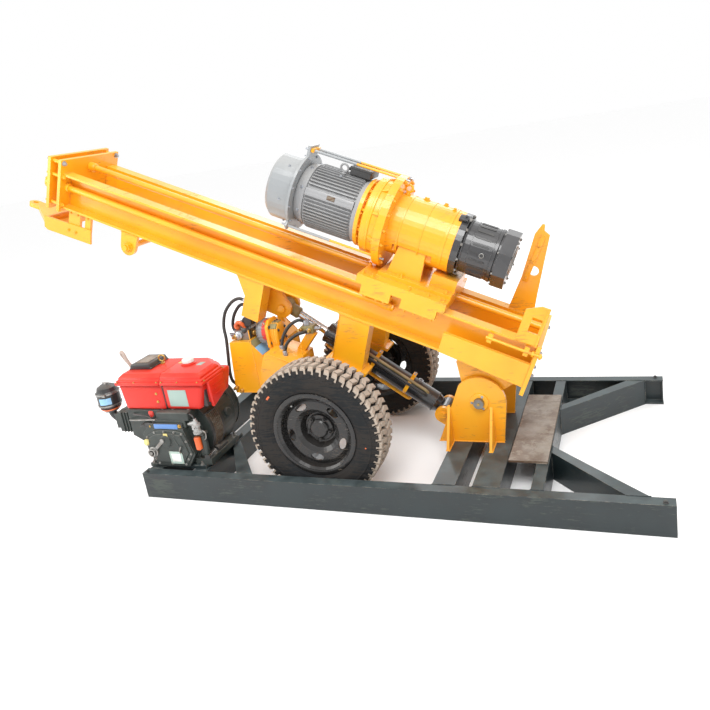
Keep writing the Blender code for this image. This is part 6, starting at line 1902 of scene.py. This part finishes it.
# %% Hoses: smooth tubes with a hexagon nut and ferrule at each end
POST_S = 1.2597
RUNS = {"hose_rear": [mast(POST_S, -0.16, -0.14), mast(POST_S - 0.02, -0.16, -0.14),
                      (-0.345, -0.162, 0.988), (-0.394, -0.167, 0.969), (-0.446, -0.172, 0.912),
                      (-0.47, -0.178, 0.833), (-0.462, -0.192, 0.765), (-0.462, -0.205, 0.69),
                      (-0.468, -0.21, 0.62), (-0.476, -0.208, 0.555), (-0.48, -0.195, 0.505),
                      (-0.47, -0.18, 0.48), (-0.4446, -0.18, 0.48)],
        "hose_valve": [mast(POST_S, -0.135, -0.172), mast(POST_S - 0.02, -0.135, -0.172),
                       (-0.365, -0.13, 0.94), (-0.412, -0.125, 0.895), (-0.442, -0.12, 0.84),
                       (-0.445, -0.12, 0.8), (-0.425, -0.12, 0.78), (-0.4003, -0.12, 0.78)],
        "hose_left": [(-0.1, -0.215, 0.6928), (-0.1, -0.215, 0.715), (-0.085, -0.2, 0.77),
                      (-0.05, -0.175, 0.82), (-0.005, -0.15, 0.842), (0.025, -0.13, 0.828),
                      (0.025, -0.13, 0.8053)],
        "hose_right": [(-0.055, -0.27, 0.6806), (-0.055, -0.27, 0.705), (-0.035, -0.262, 0.75),
                       (0.01, -0.24, 0.785), (0.045, -0.21, 0.79), (0.055, -0.18, 0.785),
                       (0.055, -0.1603, 0.785)]}
fittings = bmesh.new()
for node, points in RUNS.items():
    points = [Vector(p) for p in points]
    bm = bmesh.new()
    add_pipe(bm, [points[0], *smooth_path(points[1:-1], 6), points[-1]], 0.0094, 16)
    tube = piece(node + "_tube", bm, HOSE_BLACK, "mast")
    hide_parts(node)
    for at, beyond in ((points[0], points[1]), (points[-1], points[-2])):
        out = (beyond - at).normalized()
        add_turned(fittings, at - out * 0.002, out,
                   [(0, 0.009), (0, 0.015), (0.012, 0.015), (0.012, 0.009)], 6)
        add_turned(fittings, at + out * 0.008, out,
                   [(0, 0.009), (0, 0.0126), (0.02, 0.0126), (0.022, 0.0115), (0.022, 0.009)],
                   20)
piece("hose_ferrules", fittings, ZINC, "mast")
print("hoses:", len(RUNS))

# %% [markdown]
# ## Lift cylinder
#
# A black barrel with a ringed gland at its rod end, a hard pipe down its side
# held by clamps, and a thick bright rod with a painted end. The clamps, ring
# and fittings give the cylinder its scale.

# %% Barrel: gland ring and bolts, weld rings, clamps, fittings, hoses along it
ROD_END = (CYL_EYE - CYL_TAIL).length
side_axes = (CYL_DIR, ACROSS, CYL_SIDE)


def on_barrel(a, r, degrees):
    """Point a along the cylinder, r off its axis, turned from its upper side."""
    w = radians(degrees)
    return CYL_TAIL + CYL_DIR * a + CYL_SIDE * (r * cos(w)) + ACROSS * (r * sin(w))


bm = bmesh.new()
add_turned(bm, on_barrel(0.706, 0, 0), CYL_DIR,
           [(0, 0.0575), (0, 0.061), (0.01, 0.061), (0.012, 0.0585), (0.012, 0.0575)], 48)
add_turned(bm, on_barrel(0.78, 0, 0), CYL_DIR,
           [(-0.004, 0.0575), (-0.004, 0.0605), (0.0086, 0.0605), (0.01, 0.059),
            (0.01, 0.0265), (0.0086, 0.0262), (0.0086, 0.0575)], 48)
for k in range(24):
    add_box(bm, on_barrel(0.745, 0.0582, 15 * k), (0.018, 0.003, 0.0012),
            [CYL_DIR, on_barrel(0, 1, 15 * k + 90) - CYL_TAIL, on_barrel(0, 1, 15 * k) - CYL_TAIL],
            bevel=0.0005)
piece("gland_rings", bm, BARREL_BLACK, "lift_barrel")
bolts("gland_bolts", [(on_barrel(0.79, 0.044, 60 * k + 30), tuple(CYL_DIR), 0.55)
                      for k in range(6)], STEEL, "lift_barrel", "black_paint")
bm = bmesh.new()
for a in (0.245, 0.47, 0.655):
    add_turned(bm, on_barrel(a, 0, 0), CYL_DIR,
               [(-0.01, 0.0548), (-0.01, 0.0575), (0.01, 0.0575), (0.01, 0.0548)], 48)
    add_box(bm, on_barrel(a, 0.0745, 0), (0.01, 0.0155, 0.003), side_axes, bevel=0.001)
    for dy in (-0.015, 0.015):
        add_box(bm, on_barrel(a, 0.066, 0) + ACROSS * dy, (0.01, 0.002, 0.011), side_axes,
                bevel=0.0008)
piece("pipe_clamps", bm, YELLOW, "lift_barrel")
bolts("pipe_clamp_bolts", [(on_barrel(a, 0.0772, 0) + ACROSS * dy, tuple(CYL_SIDE), 0.4)
                           for a in (0.245, 0.47, 0.655) for dy in (-0.0118, 0.0118)], ZINC,
      "lift_barrel", "yellow_paint")
bm = bmesh.new()
for a in (0.2, 0.757):
    add_turned(bm, on_barrel(a, 0.0545 if a < 0.5 else 0.0575, 0), CYL_SIDE,
               [(0, 0.01), (0, 0.0165), (0.01, 0.0165), (0.01, 0.01)], 6)
piece("pipe_unions", bm, ZINC, "lift_barrel")
welds("barrel_welds", [[on_barrel(a, r, 12 * k) for k in range(31)]
                       for a, r in ((0.0705, 0.0552), (0.041, 0.0428))],
      BARREL_BLACK, "lift_barrel", "black_paint")
for name, paint, turn, off in (("barrel_hose_tan", HOSE_TAN, -42, 0.065),
                               ("barrel_hose_black", HOSE_BLACK, -62, 0.065)):
    bm = bmesh.new()
    add_pipe(bm, smooth_path([on_barrel(0.13, 0.05, turn), on_barrel(0.15, off, turn),
                              on_barrel(0.2, off, turn), on_barrel(0.4, off, turn),
                              on_barrel(0.64, off, turn), on_barrel(0.69, off, turn),
                              on_barrel(0.716, 0.052, turn)], 6), 0.0082, 14)
    piece(name, bm, paint, "lift_barrel")
print("barrel pieces:", piece_count["lift_barrel"])

# %% Rod: painted end; and a scratched patch on the mast's near beam
bm = bmesh.new()
add_turned(bm, on_barrel(ROD_END, 0, 0), CYL_DIR,
           [(-0.097, 0.0228), (-0.0862, 0.0346), (-0.033, 0.0346), (-0.033, 0.0228)], 40)
add_turned(bm, on_barrel(ROD_END, 0, 0), (0, 1, 0),
           [(-0.03, 0.04), (-0.03, 0.0424), (0.03, 0.0424), (0.03, 0.04)], 40)
piece("rod_end_paint", bm, OLIVE, "lift_rod")
bm = bmesh.new()
add_box(bm, mast(1.695, -0.1504, 0.121), (0.072, 0.0004, 0.0055), MAST_AXES, bevel=0.0002)
piece("scratched_patch", bm, ZINC, "mast")
print("all pieces:", dict(piece_count))

# %% [markdown]
# ## Floor, light and camera
#
# The picture shows the rig against plain white, lit softly from above and from
# the front. A pale floor, a large key light, a weaker fill and a bright even
# sky give that. The camera stands where the photograph was taken: its place,
# tilt and lens were worked out from the rails, the wheel and the mast.

# %% Floor
bm = bmesh.new()
add_prism(bm, [(-40, -40, -0.02), (40, -40, -0.02), (40, 40, -0.02), (-40, 40, -0.02)],
          (0, 0, 0.0195))
floor = shaded("floor", bm, 38.0, FLOOR)
print("floor top at", round(max(v.co.z for v in floor.data.vertices), 4))

# %% Lights
AIM = Vector((0.0, 0.0, 0.6))


def soft_light(name, place, size, power, colour=(1.0, 1.0, 1.0)):
    """Square area light that looks at the middle of the rig."""
    data = bpy.data.lights.new(name, "AREA")
    data.energy, data.size, data.color = power, size, colour
    ob = new_object(name, data)
    ob.location = place
    ob.rotation_euler = (AIM - Vector(place)).to_track_quat("-Z", "Y").to_euler()


soft_light("key", (1.6, -3.6, 5.6), 3.2, 270.0)
soft_light("fill", (-4.8, -3.2, 2.8), 3.0, 110.0, (1.0, 0.98, 0.95))
soft_light("back", (-0.5, 4.6, 4.4), 3.5, 120.0, (0.96, 0.98, 1.0))
world = bpy.data.worlds.new("studio")
world.use_nodes = True
background = world.node_tree.nodes["Background"]
background.inputs["Color"].default_value = (1.0, 1.0, 1.0, 1.0)
background.inputs["Strength"].default_value = 1.0
bpy.context.scene.world = world
bpy.context.scene.view_settings.view_transform = "Standard"

# %% Camera
CAMERA_AT = Vector((1.7137, -3.3445, 1.83451))
CAMERA_RIGHT = Vector((0.918465, 0.362455, -0.158265))
CAMERA_UP = Vector((0.035401, 0.323213, 0.945664))
CAMERA_BACK = Vector((0.393914, -0.874162, 0.284029))
camera_data = bpy.data.cameras.new("photo_camera")
camera_data.sensor_width = 36.0
camera_data.lens = 34.632
camera_data.shift_x, camera_data.shift_y = 0.012866, -0.040409
camera = new_object("photo_camera", camera_data)
camera.matrix_world = Matrix.LocRotScale(
    CAMERA_AT, Matrix((CAMERA_RIGHT, CAMERA_UP, CAMERA_BACK)).transposed(), None)
bpy.context.scene.camera = camera
print("camera at", [round(v, 3) for v in CAMERA_AT])

# %% [markdown]
# ## Closing count
#
# The number of pieces added to each body is printed.

# %% Count of the added pieces
print("pieces added by body:", piece_count)
